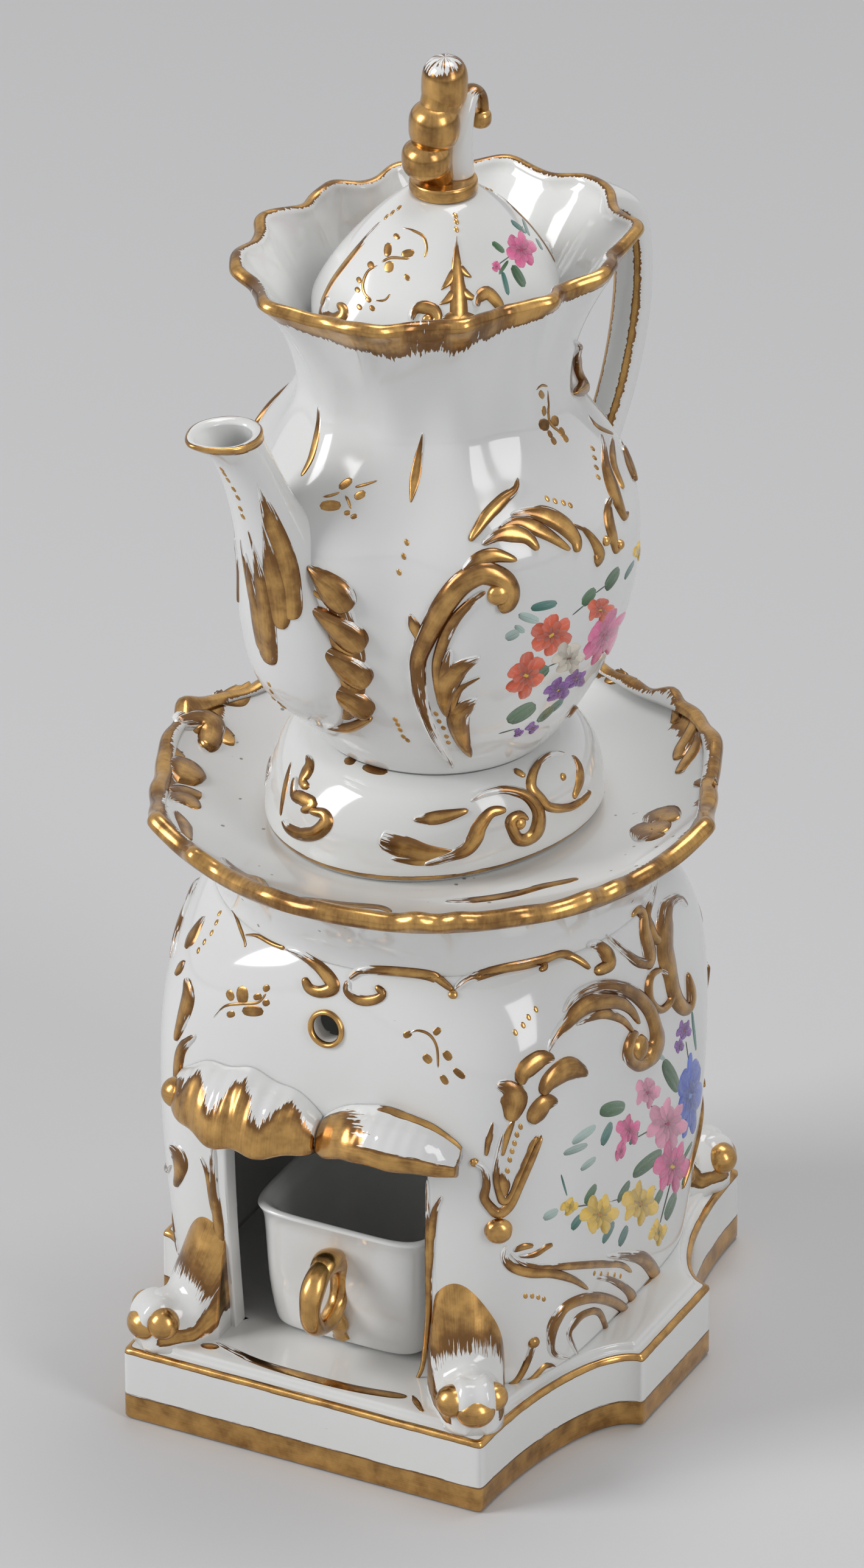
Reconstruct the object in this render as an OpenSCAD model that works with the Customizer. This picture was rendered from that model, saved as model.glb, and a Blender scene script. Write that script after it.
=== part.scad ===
// Veilleuse: a porcelain tea warmer. A square bombe stand on a plinth with side bays holds a lamp cup,
// and carries a scalloped dish with a heat hole, on which a lobed teapot with a lid stands.
// Front is -Y, up is +Z, and the origin is the middle of the plinth's underside. Millimetres.

/* [Plinth] */
// Length of the straight front and back edges
plinth_w = 79; // [74:1:84]
// Depth from the front edge to the back edge
plinth_d = 117; // [112:1:124]
// How far the side bays stand out past the front corners
bay_out = 14; // [11:0.5:16]
// Length of a bay's straight side
bay_len = 31; // [26:1:38]
// Height of the plinth's upright face
plinth_h = 16; // [12:0.5:20]
// Height of the step on top of the plinth
step_h = 1.5; // [1:0.25:3]
// Set-back of the step from the plinth's edge
step_in = 2.5; // [2:0.25:3.5]
// Thickness of the plinth's walls and deck
plinth_wall = 5; // [4:0.5:7]

/* [Stand body] */
// Width of the stand at its belly
body_w = 93; // [90:0.5:96]
// Ledge of the plinth in front of the stand's belly, and behind it
front_ledge = 10.5; // [9:0.5:12.5]
// How much the stand draws in from its belly to the plinth, on each side
base_in = 3.5; // [2:0.25:5]
// Diameter of the round neck under the dish
neck_d = 87; // [82:0.5:90]
// Height of the stand from the plinth to the dish
body_h = 88; // [84:1:100]
// Squareness of the plan: 2 is round, higher is squarer
body_square = 4; // [3.5:0.1:4.5]
// Share of the height at which the belly is widest
belly_t = 0.55; // [0.45:0.01:0.6]
// Thickness of the stand's wall
body_wall = 4; // [3:0.25:5]
// Width of the lamp opening
door_w = 44; // [41:0.5:46]
// Height of the lamp opening
door_h = 53; // [50:0.5:56]
// Radius of the lamp opening's corners
door_r = 4; // [2:0.5:8]
// Diameter of the air vents in the front and back
vent_d = 6; // [4:0.25:8]
// Height of the air vents above the plinth's step
vent_h = 75.5; // [72:0.5:78]

/* [Hood] */
// Width of the left hood leaf
left_leaf_w = 33; // [28:0.5:34]
// Width of the right hood leaf
right_leaf_w = 29; // [25:0.5:33]
// Height of the left leaf above its lip
left_leaf_h = 12.5; // [10:0.5:15]
// Height of the right leaf above its lip
right_leaf_h = 12; // [9:0.5:14]
// How far the left leaf stands out from the stand
left_leaf_out = 10.4; // [8:0.2:12]
// How far the right leaf stands out from the stand
right_leaf_out = 9.5; // [7:0.25:12]
// Thickness of a leaf at its lip
leaf_lip = 2.4; // [1.5:0.1:4]

/* [Corner feet] */
// Height of a corner foot where it grows out of the stand
foot_top = 33; // [26:0.5:36]
// Width of a corner foot at its root
foot_root_w = 16; // [13:0.5:17]
// Width of a corner foot at its middle
foot_mid_w = 14; // [11:0.5:15]
// Radius of the scroll at the toe
toe_r = 4.6; // [3.5:0.1:5.5]
// Radius of the three balls on the toe
toe_ball_r = 3.3; // [2.6:0.1:3.6]
// Length of a foot behind its toe
foot_reach = 17; // [15:0.5:19]
// Angle of a front foot from the side, seen from above
foot_turn = 55; // [50:1:62]

/* [Dish] */
// Mean radius of the dish's rim
dish_r = 56; // [54:0.5:58]
// Height of the dish's floor above the stand body
dish_rise = 13.5; // [12:0.25:18]
// Depth of the dish from rim to floor
dish_depth = 6.5; // [5:0.25:9]
// Thickness of the dish
dish_wall = 4; // [3:0.25:5]
// Radius of the flat on which the pot stands
dish_flat_r = 37; // [36.5:0.25:40]
// Diameter of the heat hole
heat_d = 36; // [28:1:42]
// Depth of the rim's scallops
scallop = 1.1; // [0.5:0.1:1.6]

/* [Teapot] */
// Turn of the spout from the front, to the left
pot_turn = 23; // [0:1:45]
// Height of the teapot's rim above the dish
pot_h = 121; // [116:1:128]
// Thickness of the teapot's wall
pot_wall = 3.5; // [3:0.1:4]
// Mean radius of the foot
pot_foot_r = 32.6; // [31:0.2:34]
// Height of the foot
pot_foot_h = 19; // [16:0.5:22]
// Radius of the waist above the foot
waist_r = 22.5; // [21.5:0.25:24.5]
// Mean radius of the belly
belly_r = 40; // [38:0.2:41]
// Height of the belly's widest part
belly_h = 63; // [58:1:68]
// Radius of the neck
neck_r = 26; // [25:0.25:28]
// Depth of the flaring collar, from the rim down to the neck's narrowest part
collar_depth = 26; // [24:0.5:29]
// Mean radius of the rim
rim_r = 36.6; // [36:0.2:38]
// Share by which the rim is longer along the spout than across it
rim_oval = 0.12; // [0.06:0.01:0.14]
// Share by which the foot is longer along the spout than across it
foot_oval = 0.085; // [0.03:0.005:0.1]
// Depth of the upright hollows between the belly's lobes as a share of the radius
hollow_depth = 0.1; // [0.04:0.005:0.12]
// Angle of the two front hollows from the spout
front_hollow = 37; // [32:1:42]
// Angle of the two back hollows from the handle
back_hollow = 27; // [24:1:32]
// Angle over which a hollow falls away
hollow_w = 16; // [12:1:20]

/* [Spout and handle] */
// Distance from the teapot's axis to the outer edge of the spout's lip
spout_reach = 60.5; // [58:0.5:62]
// Height of the spout's mouth
spout_h = 98; // [94:0.5:102]
// Half width of the spout near its mouth
spout_half = 6; // [5.5:0.1:7]
// Half width of the spout's root
spout_root_half = 12.5; // [10:0.5:14]
// Thickness of the spout's wall
spout_wall = 2; // [1.6:0.1:2.4]
// Diameter of the hole between the belly and the spout
spout_hole_d = 9; // [7:0.5:11]
// Height of the hole between the belly and the spout
spout_hole_h = 50; // [46:0.5:54]
// Distance from the teapot's axis to the middle of the handle's strap
handle_reach = 50; // [48:0.5:54]
// Width of the handle's strap
handle_w = 9; // [7:0.5:11]
// Thickness of the handle's strap
handle_t = 4.6; // [3.6:0.2:6]

/* [Lid] */
// Depth below the rim at which the lid sits in the collar
lid_drop = 17; // [15:0.5:19]
// Mean radius of the lid's edge
lid_r = 22.4; // [21.5:0.1:22.8]
// Mean radius of the lid's bulge
lid_bulge_r = 23.4; // [22.5:0.1:24.5]
// Height of the lid's bulge above its edge
lid_bulge_h = 8; // [6:0.5:10]
// Height from the bulge up to the collar
lid_dome_h = 20.5; // [17:0.5:23]
// How far the lid leans from its bulge up to the collar, towards the handle
lid_lean = 2; // [0:0.1:2.5]
// Share by which the lid is longer along the spout than across it
lid_oval = 0.1; // [0.05:0.01:0.12]
// Depth of the lid's six ridges as a share of the radius
lid_ridge = 0.025; // [0.01:0.005:0.04]
// Thickness of the lid
lid_wall = 3; // [2.4:0.1:3.6]
// Radius of the flange that goes down into the neck
flange_r = 18; // [16:0.25:19]
// Length of the flange
flange_h = 9; // [6:0.5:12]
// Radius of the collar under the finial
collar_r = 6.6; // [5.5:0.1:7.5]
// Height of the collar under the finial
collar_h = 2.8; // [2.2:0.1:3.6]
// Height of the finial above its collar
finial_h = 24.5; // [22:0.1:28]

/* [Lamp cup] */
// Width of the cup across its lip
cup_w = 39.6; // [36:0.2:40]
// Depth of the cup across its lip
cup_d = 40; // [37:0.2:42]
// Width of the cup at its bottom
cup_base_w = 29; // [27:0.2:31]
// Height of the cup
cup_h = 28.5; // [26:0.5:31]
// Thickness of the cup's wall
cup_wall = 2.4; // [2:0.1:3]
// Set-back of the cup's lip behind the face of the stand
cup_back = 4; // [3:0.2:8]
// Radius of the cup handle's ring, to the middle of its rod
ring_r = 6.6; // [6:0.1:7.4]
// Radius of the cup handle's rod
ring_rod_r = 2.2; // [1.8:0.1:2.5]
// Height of the ring's middle above the cup's base
ring_h = 15.5; // [14:0.25:17]

/* [Wick float] */
// Radius of the cork float
cork_r = 8; // [6:0.2:8.6]
// Thickness of the cork float
cork_h = 4.5; // [3.5:0.25:5]
// Radius of the tin plate
plate_r = 6.4; // [5:0.2:7]
// Thickness of the tin plate
plate_t = 0.5; // [0.4:0.05:0.8]
// Radius of the wick
wick_r = 1.1; // [0.9:0.05:1.4]
// Height of the wick above the plate
wick_h = 3.5; // [2.5:0.25:4.5]

/* [Fits] */
// Gap between a piece that lifts away and its seat
seat_gap = 0.3; // [0.2:0.05:0.5]
// Width of the slip joint between two pieces that are luted together
slip = 0.15; // [0.1:0.05:0.25]
// Gap round the wick in its holes
wick_gap = 0.15; // [0.1:0.05:0.3]

/* [Hidden] */
$fn = 64;

PORCELAIN = "#f3f2ee";
GILT = "#b5863a";
CORK = "#b08a5c";
TIN = "#c3c4c2";
WICK = "#ece4d0";

// Numbers of points round and along the lofted pieces
BODY_SIDES = 56;
DISH_SIDES = 64;
POT_SIDES = 48;
LID_SIDES = 36;
CUP_SIDES = 32;
COVE_STEPS = 9;

// Waves round the teapot's rim, with their share of its radius and their height
RIM_WAVES = 12;
RIM_WAVE = 0.018;
RIM_WAVE_H = 0.5;

// Depth of the back hollows as a share of the front ones
BACK_SHARE = 0.4;

// Power that draws the lid's dome in towards a cone: 1 is round
LID_POWER = 1.6;

// Levels of the pieces above the floor
step_z = plinth_h + step_h;
body_top_z = step_z + body_h;
dish_floor_z = body_top_z + dish_rise;
pot_z = dish_floor_z + seat_gap;
lid_z = pot_z + pot_h - lid_drop;
cup_z = step_z + seat_gap;
float_z = cup_z + cup_wall + seat_gap;

// Places that follow from the sizes above
body_d = plinth_d - 2 * front_ledge;
neck_h = pot_h - collar_depth;
leaf_z = step_z + door_h - 1;
dish_rim_h = dish_rise + dish_depth;
lid_top_h = lid_bulge_h + lid_dome_h;
cup_y = -body_d / 2 + cup_back + cup_d / 2;
float_y = cup_y;

// A point on the smooth curve between b and c, whose neighbours are a and d
function curve_point(a, b, c, d, t) =
    0.5 * (2 * b + (c - a) * t + (2 * a - 5 * b + 4 * c - d) * t ^ 2
        + (3 * b - a - 3 * c + d) * t ^ 3);

// A smooth curve through every row of p, with the given steps from row to row
function smooth_line(p, steps) = [
    for (i = [0 : len(p) - 2], s = [0 : steps - 1])
        curve_point(p[max(i - 1, 0)], p[i], p[i + 1], p[min(i + 2, len(p) - 1)], s / steps),
    p[len(p) - 1]
];

function reversed(p) = [for (i = [len(p) - 1 : -1 : 0]) p[i]];

// A level ring whose radius runs between a circle (power 2) and a square (high power)
function square_ring(half_x, half_y, power, z, sides) = [
    for (k = [0 : sides - 1])
        let (a = 360 * k / sides,
            s = (abs(cos(a)) ^ power + abs(sin(a)) ^ power) ^ (-1 / power))
        [half_x * s * cos(a), half_y * s * sin(a), z]
];

// A level ring that is longer along Y by the share oval, with lobes that swell by the share depth
function lobed_ring(r, z, oval, lobes, depth, sides, wave = 0) = [
    for (k = [0 : sides - 1])
        let (a = 360 * k / sides,
            s = 1 - oval * cos(2 * a) + depth * cos(lobes * (a - 90)))
        [r * s * cos(a), r * s * sin(a), z + wave * cos(lobes * (a - 90))]
];

// Rings of an oval section carried along a path in the YZ plane: rows are [y, z, half width, half thickness]
function swept_rings(rows, sides, power = 2) = [
    for (i = [0 : len(rows) - 1])
        let (before = rows[max(i - 1, 0)], after = rows[min(i + 1, len(rows) - 1)],
            dy = after[0] - before[0], dz = after[1] - before[1], d = norm([dy, dz]))
        [for (k = [0 : sides - 1])
            let (a = 360 * k / sides,
                s = (abs(cos(a)) ^ power + abs(sin(a)) ^ power) ^ (-1 / power),
                u = rows[i][2] * s * cos(a), v = rows[i][3] * s * sin(a))
            [u, rows[i][0] + v * dz / d, rows[i][1] - v * dy / d]]
];

// A solid through a row of rings with the same number of points, closed by caps or into a hoop
module skin(rings, hoop = false) {
    n = len(rings[0]);
    m = len(rings);
    sides = [
        for (i = [0 : hoop ? m - 1 : m - 2], k = [0 : n - 1])
            let (j = (i + 1) % m, l = (k + 1) % n)
            each [[i * n + k, j * n + k, j * n + l], [i * n + k, j * n + l, i * n + l]]
    ];
    caps = hoop ? [] : [[for (k = [0 : n - 1]) k], [for (k = [n - 1 : -1 : 0]) (m - 1) * n + k]];
    polyhedron(points = [for (r = rings) each r], faces = concat(sides, caps));
}

// Plinth

// One concave quarter of the plan, from a front corner to the bay, moved in by inset
function cove(inset) =
    let (a = bay_out + inset, b = (plinth_d - bay_len) / 2 + inset,
        from = asin(inset / b), to = acos(inset / a))
    [for (i = [0 : COVE_STEPS])
        let (t = from + (to - from) * i / COVE_STEPS)
        [plinth_w / 2 + bay_out - a * cos(t), -plinth_d / 2 + b * sin(t)]];

function plinth_plan(inset) =
    let (front = cove(inset),
        right = concat(front, reversed([for (p = front) [p[0], -p[1]]])))
    concat(right, reversed([for (p = right) [-p[0], p[1]]]));

module stand_plinth() {
    color(PORCELAIN) difference() {
        union() {
            linear_extrude(plinth_h) polygon(plinth_plan(0));
            translate([0, 0, plinth_h]) linear_extrude(step_h) polygon(plinth_plan(step_in));
        }
        translate([0, 0, -1]) linear_extrude(plinth_h - plinth_wall + 1) polygon(plinth_plan(plinth_wall));
    }
}

// Stand body: square at the plinth, swelling to the belly and drawn in to a round neck

function past_belly(t) = max(0, t - belly_t) / (1 - belly_t);
function body_half(t, belly) = t < belly_t
    ? belly / 2 - base_in * (1 - sin(90 * t / belly_t))
    : belly / 2 - (belly - neck_d) / 2 * past_belly(t) ^ 3.5;
function body_power(t) = body_square - (body_square - 2) * past_belly(t) ^ 2.5;
function body_ring(t, grow) = square_ring(body_half(t, body_w) + grow, body_half(t, body_d) + grow,
    body_power(t), step_z + body_h * t, BODY_SIDES);

BODY_OUTSIDE = [for (i = [0 : 10]) i / 10];
BODY_INSIDE = [1, 0.9, 0.8, 0.55, 0.3, 0];

// Rings cut down to a wedge that runs from the axis out to the points first to last
function wedge_rings(rings, first, last) = [
    for (r = rings) concat([[0, 0, r[0][2]]], [for (k = [first : last]) r[k % len(r)]])
];

// A wedge of the space that the stand fills, for cutting the pieces that are luted to it
module body_wedge(levels, first, last) {
    skin(wedge_rings([for (t = levels) body_ring(t, slip)], first, last));
}

function rounded_door() = [
    for (c = [[1, 1, 0], [-1, 1, 90], [-1, -1, 180], [1, -1, 270]], i = [0 : 4])
        let (a = c[2] + 22.5 * i)
        [c[0] * (door_w / 2 - door_r) + door_r * cos(a), c[1] * (door_h / 2 - door_r) + door_r * sin(a)]
];

module stand_body() {
    color(PORCELAIN) difference() {
        skin(concat([for (t = BODY_OUTSIDE) body_ring(t, 0)], [for (t = BODY_INSIDE) body_ring(t, -body_wall)]),
            hoop = true);
        translate([0, 0, step_z + door_h / 2]) rotate([90, 0, 0]) linear_extrude(body_d) polygon(rounded_door());
        translate([0, 0, step_z + vent_h]) rotate([90, 0, 0]) cylinder(d = vent_d, h = 2 * body_d, center = true);
    }
}

// Hood: two leaves that meet over the lamp opening

// Where the back of a leaf lies against the stand, at x from its middle and the height z
function wall_y(x, z) =
    let (t = (z - step_z) / body_h, power = body_power(t))
    -(body_half(t, body_d) + slip) * (1 - abs(x / (body_half(t, body_w) + slip)) ^ power) ^ (1 / power);

// Section of a leaf at the share s of its length: a dome outside, a hollow underneath
function leaf_section(x, s, height, reach) =
    let (swell = sin(180 * s) ^ 0.55, out = reach * (0.29 + 0.71 * swell), rise = height * (0.24 + 0.76 * swell),
        tip_z = leaf_z - 0.16 * reach * swell,
        top_y = wall_y(x, tip_z + rise),
        low_y = wall_y(x, tip_z + 0.35 * rise))
    concat(
        [for (i = [0 : 5]) [x, top_y - out * sin(18 * i), tip_z + rise * cos(18 * i)]],
        [for (i = [0 : 3]) [x, low_y - max(out - leaf_lip, 0.6) * cos(30 * i),
            tip_z - leaf_lip / 2 + (rise * 0.35 + leaf_lip / 2) * sin(30 * i)]]);

module hood_leaf(side, width, height, reach) {
    steps = 11;
    rings = [for (i = [0 : steps])
        leaf_section(side * (slip + width * i / steps), 0.06 + 0.9 * i / steps, height, reach)];
    skin(side > 0 ? rings : reversed(rings));
}

module hood_left_leaf() { color(PORCELAIN) hood_leaf(-1, left_leaf_w, left_leaf_h, left_leaf_out); }
module hood_right_leaf() { color(PORCELAIN) hood_leaf(1, right_leaf_w, right_leaf_h, right_leaf_out); }

// Corner feet: a scroll that leaves the stand's corner and rolls up on the plinth's corner

toe_x = plinth_w / 2 - step_in + 0.5;
toe_y = plinth_d / 2 - step_in + 0.5;
foot_len = toe_r + foot_reach;

// Rows of a foot's half widths and heights along its length, from inside the stand to the toe
function foot_rows() = smooth_line([
    [-foot_len * 1.28, foot_root_w / 2, foot_top],
    [-foot_len * 0.77, foot_root_w / 2, foot_top * 0.86],
    [-foot_len * 0.55, foot_mid_w / 2 + 0.4, foot_top * 0.5],
    [-toe_r * 2, foot_mid_w / 2, toe_r * 2 + 0.6],
    [-toe_r, foot_mid_w / 2 - 0.2, toe_r * 2]], 3);

module corner_foot(side, end) {
    toe_sides = 24;
    quarter = end < 0 ? (side > 0 ? 3 : 2) : (side > 0 ? 0 : 1);
    difference() {
        translate([side * toe_x, end * toe_y, step_z]) rotate([0, 0, end < 0
                ? (side > 0 ? -foot_turn : 180 + foot_turn)
                : (side > 0 ? foot_turn : 180 - foot_turn)]) {
            skin([for (r = foot_rows()) [for (k = [0 : 12])
                let (a = 180 * k / 12)
                [r[0], r[1] * cos(a), r[2] * sin(a) ^ 0.7]]]);
            translate([-toe_r, 0, toe_r]) rotate([90, 0, 0])
                cylinder(r = toe_r, h = foot_mid_w * 0.8, center = true, $fn = toe_sides);
            for (w = [-1, 1])
                translate([-toe_r * 0.7, w * foot_mid_w * 0.34, toe_r + 0.4]) sphere(r = toe_ball_r, $fn = toe_sides);
            translate([-toe_ball_r * 0.6, 0, toe_ball_r]) sphere(r = toe_ball_r, $fn = toe_sides);
        }
        body_wedge([for (i = [0 : 2 : 4]) BODY_OUTSIDE[i]], BODY_SIDES * quarter / 4, BODY_SIDES * (quarter + 1) / 4);
    }
}

module front_left_foot() { color(PORCELAIN) corner_foot(-1, -1); }
module front_right_foot() { color(PORCELAIN) corner_foot(1, -1); }
module back_left_foot() { color(PORCELAIN) corner_foot(-1, 1); }
module back_right_foot() { color(PORCELAIN) corner_foot(1, 1); }

// Dish: a flaring underside, a scalloped rim and a level floor round the heat hole

// Rows are [radius, height, share of the scallops]
function dish_rows() =
    let (neck = neck_d / 2, heat = heat_d / 2, reach = dish_r - neck)
    concat(
        [for (s = [0, 0.25, 0.5, 0.75, 0.95]) [neck + reach * s ^ 2, (dish_rim_h - 1) * s ^ 1.1, s ^ 4]],
        [[dish_r + 0.4, dish_rim_h - 0.6, 1], [dish_r - 0.8, dish_rim_h, 1]],
        [for (s = [0.12, 0.35, 0.65, 1])
            [dish_r - 0.8 - (dish_r - 0.8 - dish_flat_r) * s, dish_rise + dish_depth * (1 - s) ^ 1.8, (1 - s) ^ 3]],
        [[heat + 0.8, dish_rise, 0], [heat, dish_rise - 0.8, 0], [heat, dish_rise - dish_wall, 0],
            [neck - body_wall - 4, dish_rise - dish_wall, 0], [neck - body_wall, dish_rise - dish_wall - 4, 0],
            [neck - body_wall, 0, 0]]);

module stand_dish() {
    color(PORCELAIN) translate([0, 0, body_top_z])
        skin([for (r = dish_rows())
            lobed_ring(r[0], r[1], 0, 8, scallop / dish_r * r[2], DISH_SIDES, 0.7 * scallop * r[2])], hoop = true);
}

// Teapot: the lower belly swells, the shoulder falls to the neck and the collar flares to an oval rim

function along(z, from, to) = (z - from) / (to - from);
function pot_r(z) = z < belly_h
    ? waist_r + (belly_r - waist_r) * sin(90 * along(z, pot_foot_h, belly_h)) ^ 0.8
    : z < neck_h
    ? neck_r + (belly_r - neck_r) * (1 + cos(180 * along(z, belly_h, neck_h) ^ 1.4)) / 2
    : neck_r + (rim_r - neck_r) * (1 - cos(90 * along(z, neck_h, pot_h)));
function pot_oval(z) = z < neck_h ? 0 : rim_oval * along(z, neck_h, pot_h);
function pot_lobe(z) = z < neck_h ? hollow_depth * sin(180 * along(z, pot_foot_h, neck_h)) : 0;

// Shape of the belly's hollows round the pot: the spout is at 270 degrees and the handle at 90
function hollow(a, at) = exp(-(((a - at + 540) % 360 - 180) / hollow_w) ^ 2);
function hollows(a) = hollow(a, 270 - front_hollow) + hollow(a, 270 + front_hollow)
    + BACK_SHARE * (hollow(a, 90 - back_hollow) + hollow(a, 90 + back_hollow));
function pot_ring(z, grow) = [
    for (k = [0 : POT_SIDES - 1])
        let (a = 360 * k / POT_SIDES, collar = max(0, along(z, neck_h, pot_h)),
            s = 1 - pot_oval(z) * cos(2 * a) - pot_lobe(z) * hollows(a)
                + RIM_WAVE * collar ^ 2 * cos(RIM_WAVES * a))
        [(pot_r(z) * s + grow) * cos(a), (pot_r(z) * s + grow) * sin(a), z + RIM_WAVE_H * collar ^ 4 * cos(RIM_WAVES * a)]
];

// Heights of the rings up to the neck, up the collar, and down the inside of both
BELLY_OUTSIDE = [for (t = [0, 0.03, 0.08, 0.16, 0.27, 0.4, 0.54, 0.67, 0.78, 0.87, 0.94, 1])
    pot_foot_h + (neck_h - pot_foot_h) * t];
BELLY_INSIDE = [for (t = [1, 0.9, 0.8, 0.67, 0.5, 0.33, 0.16]) pot_foot_h + (neck_h - pot_foot_h) * t];
COLLAR_OUTSIDE = [for (t = [0, 0.2, 0.4, 0.6, 0.8, 1]) neck_h + collar_depth * t];
COLLAR_INSIDE = [for (t = [0.95, 0.7, 0.45, 0.2, 0]) neck_h + collar_depth * t];
POT_OUTSIDE = concat(BELLY_OUTSIDE, [for (i = [1 : 5]) COLLAR_OUTSIDE[i]]);

// A wedge of the space that the teapot fills, for cutting the pieces that are luted to it
module pot_wedge(lowest, highest, first, last) {
    skin(wedge_rings([for (i = [lowest : highest]) pot_ring(POT_OUTSIDE[i], slip)], first, last));
}

module in_pot() {
    translate([0, 0, pot_z]) rotate([0, 0, -pot_turn]) children();
}

module pot_body() {
    color(PORCELAIN) in_pot() difference() {
        skin(concat([for (z = BELLY_OUTSIDE) pot_ring(z, 0)],
            [for (z = BELLY_INSIDE) pot_ring(z, -pot_wall)],
            [pot_ring(pot_foot_h + pot_wall, -pot_wall)]));
        translate([0, -belly_r / 2, spout_hole_h]) rotate([90, 0, 0]) cylinder(d = spout_hole_d, h = belly_r);
    }
}

// Collar of the teapot, which flares up from the neck
module pot_collar() {
    color(PORCELAIN) in_pot() skin(concat([for (z = COLLAR_OUTSIDE) pot_ring(z, 0)],
        [pot_ring(pot_h, -pot_wall * 0.6)],
        [for (z = COLLAR_INSIDE) pot_ring(z, -pot_wall)]), hoop = true);
}

// Foot of the teapot: a domed oval skirt, hollow underneath
module pot_foot() {
    edge = 4.5;
    skirt = 4;
    outside = concat([[pot_foot_r - 2, 0], [pot_foot_r - 0.4, edge * 0.35]],
        [for (i = [0 : 4]) [waist_r + (pot_foot_r - waist_r) * cos(22.5 * i) ^ 0.8,
            edge + (pot_foot_h - edge) * sin(22.5 * i)]]);
    inside = [[waist_r - skirt, pot_foot_h], [waist_r - skirt * 0.8, pot_foot_h * 0.7],
        [pot_foot_r - skirt * 1.6, edge], [pot_foot_r - skirt * 1.6, 0]];
    color(PORCELAIN) in_pot()
        skin([for (r = concat(outside, inside))
            lobed_ring(r[0], r[1], foot_oval * (1 - r[1] / pot_foot_h), 4, 0, POT_SIDES)], hoop = true);
}

// Spout: level slices. Rows are [height, outer edge, inner edge, half width]
function spout_rows() = smooth_line([
    [spout_h * 0.286, belly_r * 0.77, belly_r * 0.58, spout_root_half * 0.45],
    [spout_h * 0.388, belly_r, belly_r * 0.64, spout_root_half * 0.9],
    [spout_h * 0.531, belly_r * 1.1, belly_r * 0.68, spout_root_half],
    [spout_h * 0.694, belly_r * 1.165, belly_r * 0.72, spout_root_half * 0.72],
    [spout_h * 0.837, spout_reach * 0.818, belly_r * 0.925, spout_half * 1.12],
    [spout_h * 0.949, spout_reach * 0.893, belly_r * 1.06, spout_half],
    [spout_h, spout_reach, belly_r * 1.11, spout_half * 1.12]], 2);

function spout_ring(row, inset) =
    let (mid = (row[1] + row[2]) / 2, half = (row[1] - row[2]) / 2)
    [for (k = [0 : 19]) let (a = 18 * k)
        [(row[3] - inset) * cos(a), -mid + (half - inset) * sin(a), row[0] - 0.08 * inset]];

module pot_spout() {
    rows = spout_rows();
    color(PORCELAIN) in_pot() difference() {
        skin([for (r = rows) spout_ring(r, 0)]);
        skin(concat([for (i = [5 : len(rows) - 1]) spout_ring(rows[i], spout_wall)],
            [[for (p = spout_ring(rows[len(rows) - 1], spout_wall)) p + [0, 0, 1]]]));
        pot_wedge(1, len(POT_OUTSIDE) - 3, POT_SIDES * 5 / 8, POT_SIDES * 7 / 8);
    }
}

// Handle: a strap from the collar out and down to the belly. Rows are [y, z, half width, half thickness]
module pot_handle() {
    drop = pot_h - belly_h;
    rows = smooth_line([for (p = [
        [rim_r - 1, pot_h - drop * 0.1, 0.85], [handle_reach * 0.85, pot_h - drop * 0.035, 0.95],
        [handle_reach * 0.96, pot_h - drop * 0.11, 1], [handle_reach, pot_h - drop * 0.28, 1],
        [handle_reach * 0.99, pot_h - drop * 0.5, 0.95], [handle_reach * 0.93, pot_h - drop * 0.74, 0.9],
        [handle_reach * 0.83, pot_h - drop * 0.96, 0.85], [belly_r - 3, pot_h - drop * 1.1, 0.8]])
        [p[0], p[1], handle_w / 2 * p[2], handle_t / 2]], 2);
    color(PORCELAIN) in_pot() difference() {
        skin(swept_rings(rows, 14, 3));
        pot_wedge(4, len(POT_OUTSIDE) - 1, POT_SIDES * 3 / 16, POT_SIDES * 5 / 16);
    }
}

// Lid: a six-ridged oval cone with a round bulge, and a flange that goes down into the neck

function lid_lean_at(z) = [0, lid_lean * max(0, (z - lid_bulge_h) / lid_dome_h), 0];
function lid_ring(r, z, ridge, oval) = [
    for (p = lobed_ring(r, z, oval, 6, lid_ridge * ridge, LID_SIDES)) p + lid_lean_at(z)];
function lid_cone(a, wall) = lid_ring(collar_r + (lid_bulge_r - collar_r) * cos(a) ^ LID_POWER - 1.1 * wall,
    lid_bulge_h + lid_dome_h * sin(a) ^ LID_POWER - 0.6 * wall, wall > 0 ? 0 : cos(a), lid_oval * cos(a));

module in_lid() {
    translate([0, 0, lid_z]) rotate([0, 0, -pot_turn]) children();
}

module lid_dome() {
    inner_flange = flange_r - lid_wall * 0.8;
    color(PORCELAIN) in_lid() skin(concat(
        [for (a = [70, 55, 40, 24, 0]) lid_cone(a, lid_wall)],
        [for (p = [[inner_flange, 0], [inner_flange, -flange_h], [flange_r, -flange_h], [flange_r, 0],
            [lid_r - 0.6, 0]]) lid_ring(p[0], p[1], 0, lid_oval)],
        [lid_ring(lid_r, 1, 0.4, lid_oval)],
        [for (a = [0, 20, 36, 50, 64, 77, 90]) lid_cone(a, 0)]));
}

lid_collar_z = lid_top_h + slip;

module lid_collar() {
    color(GILT) in_lid() translate([0, lid_lean, lid_collar_z]) rotate_extrude()
        polygon(concat([[0, 0]],
            [for (i = [0 : 8]) let (a = -90 + 22.5 * i)
                [collar_r - collar_h / 2 + collar_h / 2 * cos(a), collar_h / 2 + collar_h / 2 * sin(a)]],
            [[0, collar_h]]));
}

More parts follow.
